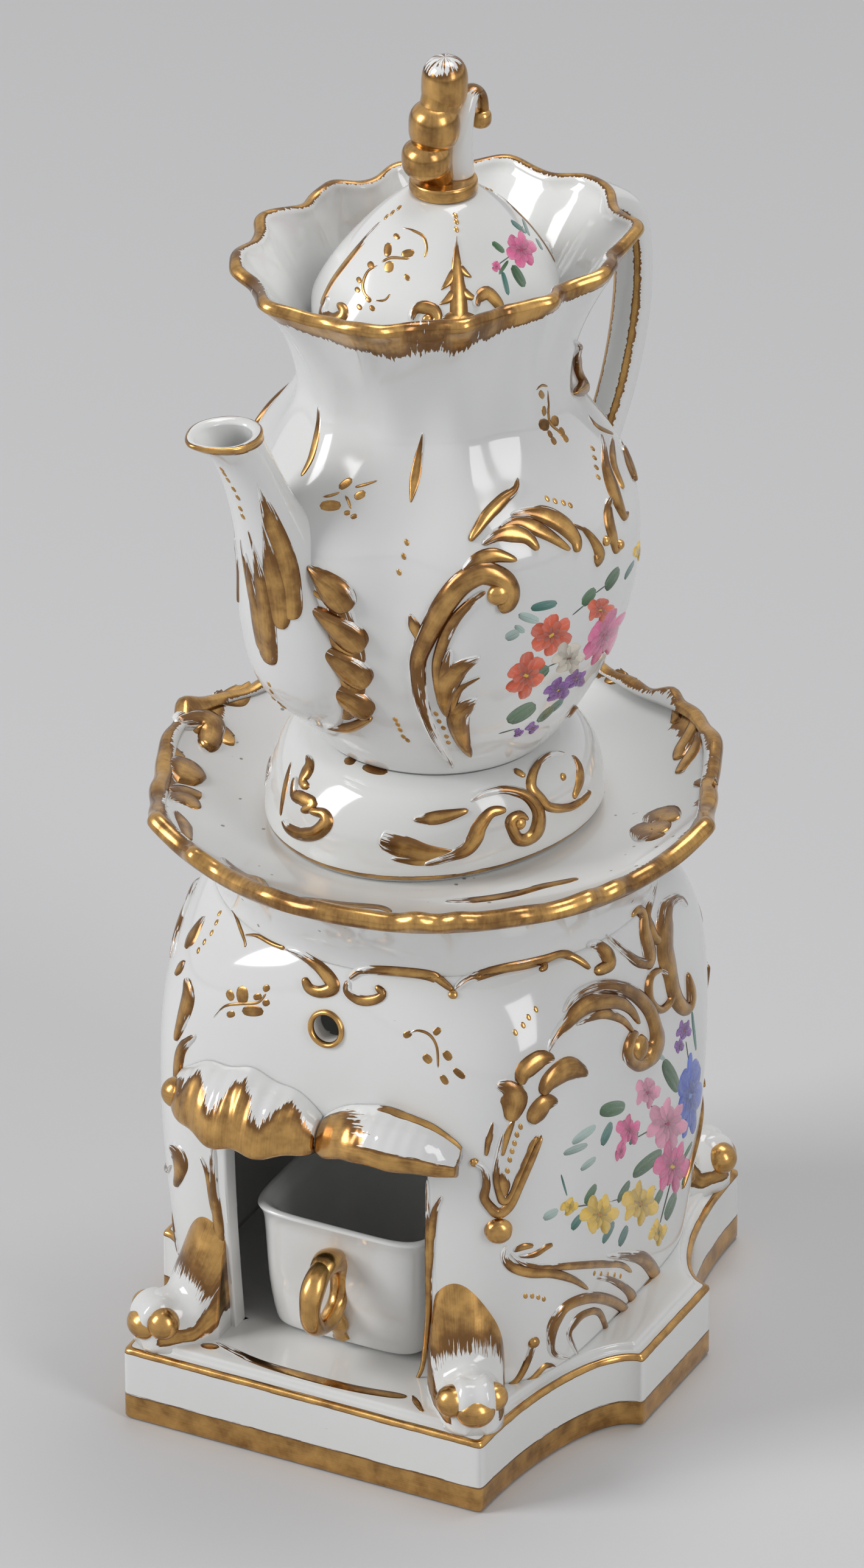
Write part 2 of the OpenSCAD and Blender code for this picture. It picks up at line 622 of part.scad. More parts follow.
// Finial: a scroll of three swelling lumps with a leaf curling away behind them
module lid_finial() {
    base = lid_collar_z + collar_h + slip;
    stem = smooth_line([for (p = [[-0.06, 0, 0.15, 0.14], [-0.06, 0.2, 0.135, 0.135], [-0.06, 0.42, 0.12, 0.12],
        [-0.01, 0.64, 0.14, 0.14], [0.01, 0.85, 0.158, 0.15], [0.01, 1, 0.15, 0.145]]) p * finial_h], 2);
    leaf = smooth_line([for (p = [[0.14, 0, 0.14, 0.1], [0.14, 0.16, 0.13, 0.09], [0.2, 0.38, 0.11, 0.075],
        [0.28, 0.49, 0.085, 0.06], [0.36, 0.45, 0.06, 0.05], [0.39, 0.36, 0.05, 0.05]]) p * finial_h], 2);
    color(GILT) in_lid() translate([0, lid_lean, base]) {
        skin(swept_rings(stem, 12));
        skin(swept_rings(leaf, 10));
        for (ball = [[-0.2, 0.165, 0.165], [-0.16, 0.42, 0.155], [0, 0.7, 0.155], [0.39, 0.345, 0.065]])
            translate([0, ball[0], ball[1]] * finial_h) sphere(r = finial_h * ball[2], $fn = 24);
    }
}

// Lamp cup: a tapering square cup with a turned-out lip. Rows are [share of the flare, height]
function cup_ring(flare, z, inset) =
    let (taper = (cup_w - cup_base_w) / 2 * (1 - flare))
    square_ring(cup_w / 2 - taper - inset, cup_d / 2 - taper - inset, 6, z, CUP_SIDES);

function cup_outside() = [[0, 0], [0.26, 0.8], [0.45, cup_h * 0.08], [0.66, cup_h * 0.37],
    [0.78, cup_h * 0.78], [0.84, cup_h * 0.9], [1, cup_h - 0.6]];

module in_cup() {
    translate([0, cup_y, cup_z]) children();
}

// The front wedge of the space that the cup fills, for cutting the handle that is luted to it
module cup_wedge() {
    skin(wedge_rings([for (r = cup_outside()) cup_ring(r[0], r[1], -slip)], CUP_SIDES * 5 / 8, CUP_SIDES * 7 / 8));
}

module godet_cup() {
    color(PORCELAIN) in_cup() skin(concat(
        [for (r = cup_outside()) cup_ring(r[0], r[1], 0)],
        [cup_ring(1, cup_h, 0.8), cup_ring(0.84, cup_h * 0.9, cup_wall), cup_ring(0.78, cup_h * 0.75, cup_wall),
            cup_ring(0.64, cup_h * 0.4, cup_wall), cup_ring(0.4, cup_wall, cup_wall)]));
}

module godet_handle() {
    front = cup_d / 2 - (cup_w - cup_base_w) / 2 * 0.32;
    tail = [[-front - 1.6, ring_h - ring_r, 1.9, 1.4], [-front - 0.2, ring_h - ring_r - 3, 2.2, 1.5],
        [-front + 1.2, ring_h - ring_r - 6.4, 1.4, 1.2]];
    color(GILT) in_cup() difference() {
        union() {
            translate([0, -front - ring_r + 1.2, ring_h]) rotate([0, 90, 0])
                rotate_extrude() translate([ring_r, 0]) circle(r = ring_rod_r, $fn = 32);
            skin(swept_rings(smooth_line(tail, 3), 10));
        }
        cup_wedge();
    }
}

// Wick float: a cork ring that floats on the oil, a tin plate on it and a wick through both

module at_float(z) {
    translate([0, float_y, float_z + z]) children();
}

module float_cork() {
    color(CORK) at_float(0) difference() {
        cylinder(r = cork_r, h = cork_h);
        translate([0, 0, -1]) cylinder(r = wick_r + wick_gap, h = cork_h + 2);
    }
}

module float_plate() {
    color(TIN) at_float(cork_h) difference() {
        cylinder(r = plate_r, h = plate_t);
        translate([0, 0, -1]) cylinder(r = wick_r + wick_gap, h = plate_t + 2);
    }
}

module float_wick() {
    color(WICK) at_float(0) cylinder(r = wick_r, h = cork_h + plate_t + wick_h);
}

stand_plinth();
stand_body();
stand_dish();
hood_left_leaf();
hood_right_leaf();
front_left_foot();
front_right_foot();
back_left_foot();
back_right_foot();
pot_body();
pot_collar();
pot_foot();
pot_spout();
pot_handle();
lid_dome();
lid_collar();
lid_finial();
godet_cup();
godet_handle();
float_cork();
float_plate();
float_wick();
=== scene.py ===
"""Dresses the frame of a porcelain tea warmer: a lobed teapot with its lid on a stand that holds a lamp cup.

Every form is a surface of two parameters or a profile carried along a path, worked out in millimetres and
turned into metres when its mesh is made. Gilding and painted flowers are thin strokes laid on those same
surfaces."""

import itertools

import bmesh
import bpy
import mathutils
import numpy as np
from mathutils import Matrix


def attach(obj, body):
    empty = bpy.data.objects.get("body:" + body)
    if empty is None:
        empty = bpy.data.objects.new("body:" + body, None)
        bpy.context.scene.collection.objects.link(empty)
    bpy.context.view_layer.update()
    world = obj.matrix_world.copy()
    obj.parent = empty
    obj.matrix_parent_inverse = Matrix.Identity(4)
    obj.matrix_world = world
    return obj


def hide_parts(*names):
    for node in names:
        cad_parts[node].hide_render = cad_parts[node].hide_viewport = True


bl_info = {
    "name": "Porcelain Tea Warmer",
    "version": (1, 0, 0),
    "blender": (4, 5, 0),
    "location": "View3D > Sidebar > Tea Warmer",
    "description": "Dresses a tea warmer with glazed porcelain, worn gilding and painted flowers",
    "category": "Object",
}

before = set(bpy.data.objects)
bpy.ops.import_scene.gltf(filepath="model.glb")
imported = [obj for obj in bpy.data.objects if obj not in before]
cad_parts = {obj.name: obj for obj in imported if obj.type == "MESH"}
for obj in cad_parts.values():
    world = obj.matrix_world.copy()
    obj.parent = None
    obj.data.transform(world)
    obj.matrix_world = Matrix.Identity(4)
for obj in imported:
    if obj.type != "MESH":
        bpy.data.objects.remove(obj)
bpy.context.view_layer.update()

MM = 0.001

# Stand
STEP_Z = 17.5
BODY_H = 88.0
BODY_W = 93.0
BODY_D = 96.0
BASE_IN = 3.5
NECK_D = 87.0
BODY_SQUARE = 4.0
BELLY_SHARE = 0.55
BODY_WALL = 4.0
BODY_TOP = STEP_Z + BODY_H
DOOR_HALF = 22.0
DOOR_TOP = 70.5
DOOR_R = 4.0
VENT_Z = 93.0
VENT_R = 3.0
PLINTH_W = 79.0
PLINTH_D = 117.0
PLINTH_H = 16.0
BAY_OUT = 14.0
BAY_LEN = 31.0
STEP_IN = 2.5
PLINTH_WALL = 5.0

# Dish
DISH_R = 56.0
DISH_RISE = 13.5
DISH_DEPTH = 6.5
DISH_FLAT = 37.0
DISH_WALL = 4.0
HEAT_R = 18.0
SCALLOP = 1.1
SCALLOPS = 8

# Teapot, standing on the dish and turned towards the left
POT_Z = BODY_TOP + DISH_RISE + 0.3
POT_TURN = -23.0
POT_H = 121.0
POT_WALL = 3.5
POT_LIP = 3.0
FOOT_R = 32.6
FOOT_H = 19.0
FOOT_EDGE = 4.5
FOOT_OVAL = 0.085
WAIST_R = 22.5
BELLY_R = 40.0
BELLY_Z = 63.0
NECK_R = 26.0
NECK_Z = 95.0
RIM_R = 36.6
RIM_OVAL = 0.12
HOLLOW = 0.1
FRONT_HOLLOW = 37.0
BACK_HOLLOW = 27.0
HOLLOW_W = 16.0
FLUTES = 12
FLUTE = 0.036
PLEAT = 0.032

# Lid
LID_Z = POT_Z + 104.0
LID_R = 22.4
LID_BULGE_R = 23.4
LID_BULGE_Z = 8.0
LID_DOME = 20.5
LID_LEAN = 2.0
LID_POWER = 1.6
LID_OVAL = 0.1
LID_RIDGE = 0.025
LID_WALL = 3.0
FLANGE_R = 18.0
FLANGE_H = 9.0
COLLAR_R = 6.6
COLLAR_H = 2.8
COLLAR_Z = 28.65
FINIAL_Z = 31.6
FINIAL_H = 24.5

# Lamp cup and float
CUP_Y = -24.0
CUP_Z = 17.8
CUP_W = 39.6
CUP_D = 40.0
CUP_BASE = 29.0
CUP_H = 28.5
CUP_WALL = 2.4
RING_R = 6.6
RING_ROD = 2.2
RING_Z = 15.5
FLOAT_Z = 20.5


def cosd(angle):
    """Cosine of an angle in degrees."""
    return np.cos(np.radians(angle))


def sind(angle):
    """Sine of an angle in degrees."""
    return np.sin(np.radians(angle))


def circle(n):
    """n angles all round, in degrees."""
    return np.linspace(0, 360, n + 1)[:-1]


def unit(v):
    """Vectors over their lengths."""
    return v / np.maximum(np.linalg.norm(v, axis=-1, keepdims=True), 1e-9)


def ramp(low, high, x):
    """A smooth step from 0 at low to 1 at high."""
    t = np.clip((x - low) / (high - low), 0.0, 1.0)
    return t * t * (3 - 2 * t)


def curve(rows, t):
    """A cubic curve through every row, at the shares t of the way from the first row to the last."""
    rows = np.asarray(rows, float)
    last = len(rows) - 1
    x = np.clip(np.asarray(t, float), 0.0, 1.0) * last
    i = np.minimum(x.astype(int), last - 1)
    f = (x - i)[..., None]
    a, b, c, d = rows[np.maximum(i - 1, 0)], rows[i], rows[i + 1], rows[np.minimum(i + 2, last)]
    return 0.5 * (2 * b + (c - a) * f + (2 * a - 5 * b + 4 * c - d) * f**2 + (3 * b - a - 3 * c + d) * f**3)


def turned(x, y, z, angle, lift):
    """Points turned about the upright axis and lifted."""
    c, s = cosd(angle), sind(angle)
    return np.stack(np.broadcast_arrays(x * c - y * s, x * s + y * c, z + lift), -1)


def waves(x, y, z):
    """A smooth, repeatable unevenness between about -1 and 1 at points in space."""
    return (np.sin(0.71 * x + 1.3 * np.sin(0.37 * y) + 0.2) + np.sin(0.83 * y + 1.1 * np.sin(0.41 * z) + 1.7)
        + np.sin(0.67 * z + 1.2 * np.sin(0.33 * x) + 4.1)) / 3


def stand_plan(h, grow):
    """Half sizes and power of the stand's plan: a sine swells it up to the belly, then powers of the way
    past the belly draw it in to a round neck."""
    t = np.clip((h - STEP_Z) / BODY_H, 0.0, 1.0)
    past = np.maximum(0.0, t - BELLY_SHARE) / (1 - BELLY_SHARE)
    low = BASE_IN * (1 - sind(90 * np.minimum(t / BELLY_SHARE, 1.0)))
    half_x = BODY_W / 2 - low - (BODY_W - NECK_D) / 2 * past**3.5 + grow
    half_y = BODY_D / 2 - low - (BODY_D - NECK_D) / 2 * past**3.5 + grow
    power = BODY_SQUARE - (BODY_SQUARE - 2) * past**2.5
    return half_x, half_y, power


def stand_wall(a, h, grow=0.0):
    """Stand: a superellipse in plan at every height h, over the angle a."""
    half_x, half_y, power = stand_plan(h, grow)
    c, s = cosd(a), sind(a)
    k = (np.abs(c) ** power + np.abs(s) ** power) ** (-1 / power)
    return np.stack([half_x * k * c, half_y * k * s, h + 0 * a], -1)


def stand_front(x, z, grow=0.0):
    """The stand's front as points over x and z, from the same superellipse solved for y."""
    half_x, half_y, power = stand_plan(z, grow)
    y = -half_y * np.maximum(1 - np.abs(x / half_x) ** power, 0.0) ** (1 / power)
    return np.stack([x + 0 * z, y, z + 0 * x], -1)


def hollow(a, at):
    """A bell curve round the angle at."""
    return np.exp(-((((a - at + 540) % 360 - 180) / HOLLOW_W) ** 2))


def pot_wall(a, h, grow=0.0):
    """Teapot: the radius swells to the belly, falls to the neck and flares to the collar. Upright hollows
    beside the spout and the handle, the neck's pleats and the collar's flutes modulate it with the angle a,
    whose 270 degrees is the spout."""
    z = np.clip(h, FOOT_H, POT_H)
    low = np.clip((z - FOOT_H) / (BELLY_Z - FOOT_H), 0.0, 1.0)
    mid = np.clip((z - BELLY_Z) / (NECK_Z - BELLY_Z), 0.0, 1.0)
    flare = np.clip((z - NECK_Z) / (POT_H - NECK_Z), 0.0, 1.0)
    belly = WAIST_R + (BELLY_R - WAIST_R) * sind(90 * low) ** 0.8
    shoulder = NECK_R + (BELLY_R - NECK_R) * (1 + cosd(180 * mid**1.4)) / 2
    collar = NECK_R + (RIM_R - NECK_R) * (1 - cosd(90 * flare))
    r = np.where(z < BELLY_Z, belly, np.where(z < NECK_Z, shoulder, collar))
    deep = HOLLOW * np.sin(np.pi * np.clip((z - FOOT_H) / (NECK_Z - FOOT_H), 0.0, 1.0))
    front = hollow(a, 270 - FRONT_HOLLOW) + hollow(a, 270 + FRONT_HOLLOW)
    rear = hollow(a, 90 - BACK_HOLLOW) + hollow(a, 90 + BACK_HOLLOW)
    flutes = cosd(FLUTES * a)
    s = 1 - RIM_OVAL * flare * cosd(2 * a) - deep * (front + 0.4 * rear) + FLUTE * flare**2 * flutes
    pleat = PLEAT * ramp(0.35, 1.0, mid) * ramp(0.9, 0.1, flare) * (1 + flutes) / 2
    reach = r * (s + pleat) + grow
    return turned(reach * cosd(a), reach * sind(a), z + 0.5 * flare**4 * flutes, POT_TURN, POT_Z)


FOOT_DOME = [[WAIST_R + (FOOT_R - WAIST_R) * cosd(22.5 * i) ** 0.8,
    FOOT_EDGE + (FOOT_H - FOOT_EDGE) * sind(22.5 * i)] for i in range(4)]
FOOT_PROFILE = [[FOOT_R - 2, 0.0], [FOOT_R - 0.4, FOOT_EDGE * 0.35]] + FOOT_DOME + [[WAIST_R, FOOT_H]]


def pot_foot(a, t):
    """Foot of the teapot: a domed skirt, oval at its base, from the edge (t = 0) to the waist (t = 1)."""
    p = curve(FOOT_PROFILE, t)
    r, z = p[..., 0], p[..., 1]
    reach = r * (1 - FOOT_OVAL * (1 - z / FOOT_H) * cosd(2 * a))
    return turned(reach * cosd(a), reach * sind(a), z, POT_TURN, POT_Z)


def lid_dome(a, t, wall=0.0):
    """Lid: powers of the sine and cosine draw the dome in towards a cone from the bulge (t = 0) to the
    collar (t = 1). It is oval with six ridges below, round above, and leans towards the handle."""
    low, high = cosd(90 * t), sind(90 * t) ** LID_POWER
    r = COLLAR_R + (LID_BULGE_R - COLLAR_R) * low**LID_POWER - 1.1 * wall
    reach = r * (1 - LID_OVAL * low * cosd(2 * a) + LID_RIDGE * (wall == 0) * low * cosd(6 * (a - 90)))
    z = LID_BULGE_Z + LID_DOME * high - 0.6 * wall
    return turned(reach * cosd(a), reach * sind(a) + LID_LEAN * high, z + 0 * a, POT_TURN, LID_Z)


def back_rise(a):
    """How much the rim stands higher at the back right: a bell round 50 degrees."""
    return 2.6 * np.maximum(0.0, cosd(a - 50)) ** 2


def dish_face(a, t):
    """Dish: t runs up the flaring underside from the neck (0) to the rim (1), then down the inside to the
    flat (2). Scallops swell the radius and the height towards the rim."""
    up = np.clip(t, 0.0, 1.0)
    down = np.clip(t - 1, 0.0, 1.0)
    neck = NECK_D / 2
    under = t < 1
    r = np.where(under, neck + (DISH_R - neck) * up**2, DISH_R - (DISH_R - DISH_FLAT) * down)
    z = np.where(under, (DISH_RISE + DISH_DEPTH - 0.3) * up**1.1, DISH_RISE + DISH_DEPTH * (1 - down) ** 1.8)
    share = np.where(under, up**4, (1 - down) ** 3)
    wave = cosd(SCALLOPS * (a - 90))
    reach = r * (1 + SCALLOP / DISH_R * share * wave)
    z = BODY_TOP + z + (0.7 * SCALLOP * wave + back_rise(a)) * share
    return np.stack([reach * cosd(a), reach * sind(a), z], -1)


# Level slices of the spout: height, outer edge, inner edge, half width
SPOUT_ROWS = (
    (28.0, 30.8, 23.2, 5.6), (38.0, 40.0, 25.6, 11.25), (52.0, 44.0, 27.2, 12.5), (68.0, 46.6, 28.8, 9.0),
    (82.0, 49.5, 37.0, 6.7), (93.0, 54.0, 42.4, 6.0), (98.0, 60.5, 44.4, 6.7))


def spout_wall(a, t, grow=0.0):
    """Spout: level ovals from the root (t = 0) to the mouth (t = 1), drawn out to a beak at its front."""
    p = curve(SPOUT_ROWS, t)
    middle, half = (p[..., 1] + p[..., 2]) / 2, (p[..., 1] - p[..., 2]) / 2
    out = np.maximum(0.0, -sind(a))
    beak = ramp(0.86, 1.0, t)
    x = (p[..., 3] + grow) * cosd(a) * (1 - 0.3 * beak * out**2)
    y = -middle + (half + grow) * sind(a)
    return turned(x, y, p[..., 0] + 0.4 * beak * out**3, POT_TURN, POT_Z)


# The photograph's camera: its angles, its distance from the aim in millimetres, its focal length, the shift
# of its frame and the pixel that the aim falls on
AZIMUTH = 26.8
ELEVATION = 28.59
DISTANCE = 2200.0
AIM_Z = 140.0
LENS = 259.9
SENSOR = 36.0
SHIFT_X = -0.0022
SHIFT_Y = -0.0463
CLIP_NEAR = 0.05
CLIP_FAR = 50.0
PHOTO_H = 2576
ROLL = -0.24
AIM_PIXEL = np.array((715.1, 1168.8))
BACK = np.array((sind(AZIMUTH) * cosd(ELEVATION), -cosd(AZIMUTH) * cosd(ELEVATION), sind(ELEVATION)))
RIGHT = np.array((cosd(AZIMUTH), sind(AZIMUTH), 0.0))
UP = np.cross(BACK, RIGHT)


def pixels(points):
    """Where points fall in the photograph: the camera's right and up over depth, times the focal length."""
    d = points - (0.0, 0.0, AIM_Z)
    scale = LENS / SENSOR * PHOTO_H / (DISTANCE - d @ BACK)
    u, v = (d @ RIGHT) * scale, (d @ UP) * scale
    c, s = cosd(ROLL), sind(ROLL)
    return np.stack([c * u - s * v, -s * u - c * v], -1) + AIM_PIXEL


# Distances in metres below which points are welded and slivers are dissolved
WELD = 1e-7
SLIVER = 1e-8


class Carrier:
    """A surface that carries strokes: points, slopes along both parameters and the outward normal."""

    def __init__(self, points, step_p, step_q):
        self.points = points
        self.step_p = step_p
        self.step_q = step_q

    def at(self, p, q):
        """Point, both slopes by central differences, and normal as their cross product."""
        dp, dq = self.step_p, self.step_q
        slope_p = (self.points(p + dp, q) - self.points(p - dp, q)) / (2 * dp)
        slope_q = (self.points(p, q + dq) - self.points(p, q - dq)) / (2 * dq)
        return self.points(p, q), slope_p, slope_q, unit(np.cross(slope_p, slope_q))


class Sheet:
    """Gathers grids of points into one mesh. UVs are in millimetres. Each point has a gilding and a tint."""

    def __init__(self):
        self.count = 0
        self.points, self.faces, self.uvs, self.gilts, self.tints = [], [], [], [], []

    def add(self, points, uv=None, ring=False, hoop=False, gilt=0.0, tint=(1.0, 1.0, 1.0), keep=None,
            flip=False, across=False):
        """Adds a grid, closed over its first direction (ring) or its second (hoop). Cells outside keep are
        left out. Brush hairs run along the first direction, or along the second with across."""
        n, m = points.shape[:2]
        rows, cols = n - 1 + ring, m - 1 + hoop
        i, j = np.meshgrid(np.arange(rows), np.arange(cols), indexing="ij")
        k, l = (i + 1) % n, (j + 1) % m
        faces = np.stack([i * m + j, k * m + j, k * m + l, i * m + l], -1)
        if uv is None:
            uv = (np.linalg.norm(np.gradient(points, axis=0), axis=-1).mean() * n,
                np.linalg.norm(np.gradient(points, axis=1), axis=-1).mean() * m)
        corner_u = np.stack([i, i + 1, i + 1, i], -1) / rows * uv[0]
        corner_v = np.stack([j, j, j + 1, j + 1], -1) / cols * uv[1]
        corners = np.stack([corner_v, corner_u] if across else [corner_u, corner_v], -1)
        if flip:
            faces, corners = faces[..., ::-1], corners[..., ::-1, :]
        if keep is not None:
            faces, corners = faces[keep], corners[keep]
        self.points.append(points.reshape(-1, 3))
        self.faces.append(faces.reshape(-1, 4) + self.count)
        self.uvs.append(corners.reshape(-1, 2))
        self.gilts.append(np.broadcast_to(gilt, (n, m)).ravel())
        self.tints.append(np.broadcast_to(tint, (n, m, 3)).reshape(-1, 3))
        self.count += n * m

    def build(self, context, name, body, nodes=(), look="glazed_porcelain"):
        """Makes the object, closes its poles, ties it to its body, gives it its finish and hides the nodes
        it stands for.
        """
        mesh = bpy.data.meshes.new(name)
        mesh.from_pydata((np.concatenate(self.points) * MM).tolist(), [],
            np.concatenate(self.faces).tolist())
        mesh.uv_layers.new(name="UVMap").data.foreach_set("uv", np.concatenate(self.uvs).ravel())
        gilt = mesh.attributes.new("gilt", "FLOAT", "POINT")
        gilt.data.foreach_set("value", np.concatenate(self.gilts).astype(np.float32))
        tints = np.concatenate(self.tints)
        tint = mesh.attributes.new("tint", "FLOAT_COLOR", "POINT")
        colours = np.column_stack([tints, np.ones(len(tints))]).astype(np.float32)
        tint.data.foreach_set("color", colours.ravel())
        shape = bmesh.new()
        shape.from_mesh(mesh)
        bmesh.ops.remove_doubles(shape, verts=shape.verts, dist=WELD)
        bmesh.ops.dissolve_degenerate(shape, edges=shape.edges, dist=SLIVER)
        shape.to_mesh(mesh)
        shape.free()
        mesh.shade_smooth()
        mesh.materials.append(finish(context, look))
        piece = bpy.data.objects.new(name, mesh)
        bpy.context.collection.objects.link(piece)
        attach(piece, body)
        if nodes:
            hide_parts(*nodes)


def lay(sheet, carrier, rows, rise, tint=(1.0, 1.0, 1.0), gilt=1.0, blunt=0.0, dome=0.6):
    """Lays a stroke on a carrier. Rows are the two parameters and the half width. The width is spread along
    the surface itself, and the section is a dome of the height rise whose edges sink in a little."""
    rows = np.asarray(rows, float)
    rough = carrier.points(*curve(rows[:, :2], np.linspace(0, 1, 24)).T)
    length = np.linalg.norm(np.diff(rough, axis=0), axis=1).sum()
    n = int(np.clip(length / 0.5, 8, 140))
    widest = rows[:, 2].max()
    m = 5 if widest < 0.7 else 9 if widest < 2.5 else 13
    t = np.linspace(0, 1, n)
    spine = curve(rows, t)
    p, q, half = spine[:, 0], spine[:, 1], np.maximum(spine[:, 2], 0.0)
    if blunt:
        end = np.minimum(np.minimum(t, 1 - t) / blunt, 1.0)
        half = half * np.sqrt(1 - (1 - end) ** 2)
    x, slope_p, slope_q, normal = carrier.at(p, q)
    along = unit(np.gradient(x, axis=0))
    side = np.cross(normal, along)
    pp, pq, qq = (slope_p**2).sum(-1), (slope_p * slope_q).sum(-1), (slope_q**2).sum(-1)
    sp, sq = (side * slope_p).sum(-1), (side * slope_q).sum(-1)
    det = pp * qq - pq**2
    step_p, step_q = (qq * sp - pq * sq) / det, (pp * sq - pq * sp) / det
    s = np.linspace(-1, 1, m)
    reach = half[:, None] * s
    y, _, _, out = carrier.at(p[:, None] + step_p[:, None] * reach, q[:, None] + step_q[:, None] * reach)
    taper = np.minimum(half / max(widest, 1e-6) * 2, 1.0)[:, None] ** 0.5
    height = rise * taper * np.maximum(1 - s**2, 0.0) ** dome - 0.04 * (np.abs(s) > 0.99)
    gold = gilt(t[:, None], s[None, :]) if callable(gilt) else gilt
    colour = tint(t[:, None], s[None, :]) if callable(tint) else tint
    sheet.add(y + out * height[..., None], (length, 2 * widest), gilt=gold, tint=colour)


def boss(sheet, carrier, p, q, across, rise, tall=None, lean=0.0):
    """A domed gilt boss on a carrier: an ellipse of given half sizes along the surface, leaning by an
    angle."""
    tall = across if tall is None else tall
    _, slope_p, slope_q, _ = carrier.at(np.array([p], float), np.array([q], float))
    scale_p, scale_q = np.linalg.norm(slope_p), np.linalg.norm(slope_q)
    round_, out_ = np.meshgrid(circle(24), np.linspace(1, 0, 7), indexing="ij")
    dx, dy = across * out_ * cosd(round_), tall * out_ * sind(round_)
    dx, dy = dx * cosd(lean) - dy * sind(lean), dx * sind(lean) + dy * cosd(lean)
    y, _, _, normal = carrier.at(p + dx / scale_p, q + dy / scale_q)
    height = rise * np.sqrt(np.maximum(1 - out_**2, 0.0)) - 0.05 * (out_ > 0.99)
    sheet.add(y + normal * height[..., None], ring=True, gilt=1.0)


class Value:
    """A node socket that takes part in arithmetic: every operator adds a Math node."""

    def __init__(self, finish, socket):
        self.finish = finish
        self.socket = socket

    def math(self, operation, *others, clamp=False):
        """A Math node of this value and others."""
        settings = {"operation": operation, "use_clamp": clamp}
        return self.finish.node("ShaderNodeMath", settings, dict(enumerate((self,) + others)))[0]

    def __add__(self, other):
        return self.math("ADD", other)

    def __sub__(self, other):
        return self.math("SUBTRACT", other)

    def __rsub__(self, other):
        return (self * -1.0).math("ADD", other)

    def __mul__(self, other):
        return self.math("MULTIPLY", other)

    __radd__ = __add__
    __rmul__ = __mul__

    def clamped(self):
        """The value held between 0 and 1."""
        return self.math("ADD", 0.0, clamp=True)

    def between(self, low, high):
        """0 below low, 1 above high and smooth in between."""
        settings = {"interpolation_type": "SMOOTHSTEP"}
        return self.finish.node("ShaderNodeMapRange", settings,
            {"Value": self, "From Min": low, "From Max": high})[0]


class Finish:
    """A material under construction. node() adds any node from its type, its settings and its inputs."""

    def __init__(self, name):
        self.material = bpy.data.materials.new(name)
        self.material.use_nodes = True
        self.tree = self.material.node_tree
        self.tree.nodes.clear()

    def node(self, kind, settings=None, inputs=None):
        """Adds a node and returns its outputs, which are looked up by number or by name."""
        made = self.tree.nodes.new(kind)
        for key, setting in (settings or {}).items():
            setattr(made, key, setting)
        for key, given in (inputs or {}).items():
            socket = made.inputs[key]
            if isinstance(given, Value):
                self.tree.links.new(given.socket, socket)
            else:
                socket.default_value = given
        return Outputs(self, made)

    def noise(self, place, scale, detail=2.0, stretch=(1.0, 1.0, 1.0)):
        """Noise between 0 and 1 at a place that is stretched along its axes first."""
        moved = self.node("ShaderNodeMapping", {}, {"Vector": place, "Scale": stretch})[0]
        inputs = {"Vector": moved, "Scale": scale, "Detail": detail}
        return self.node("ShaderNodeTexNoise", {}, inputs)["Fac"]

    def mix(self, share, first, second):
        """A colour between two colours. Inputs 6 and 7 and output 2 are the Mix node's colours."""
        settings = {"data_type": "RGBA"}
        return self.node("ShaderNodeMix", settings, {"Factor": share, 6: first, 7: second})[2]

    def done(self, surface):
        """Sets a shader's fixed inputs and its links, and ends the material with it."""
        shader = self.node("ShaderNodeBsdfPrincipled", {}, surface)[0]
        self.node("ShaderNodeOutputMaterial", {}, {"Surface": shader})
        return self.material


class Outputs:
    """The outputs of a node."""

    def __init__(self, finish, made):
        self.finish = finish
        self.made = made

    def __getitem__(self, key):
        return Value(self.finish, self.made.outputs[key])


def rgba(colour):
    """A colour with full cover."""
    return (*colour, 1.0)


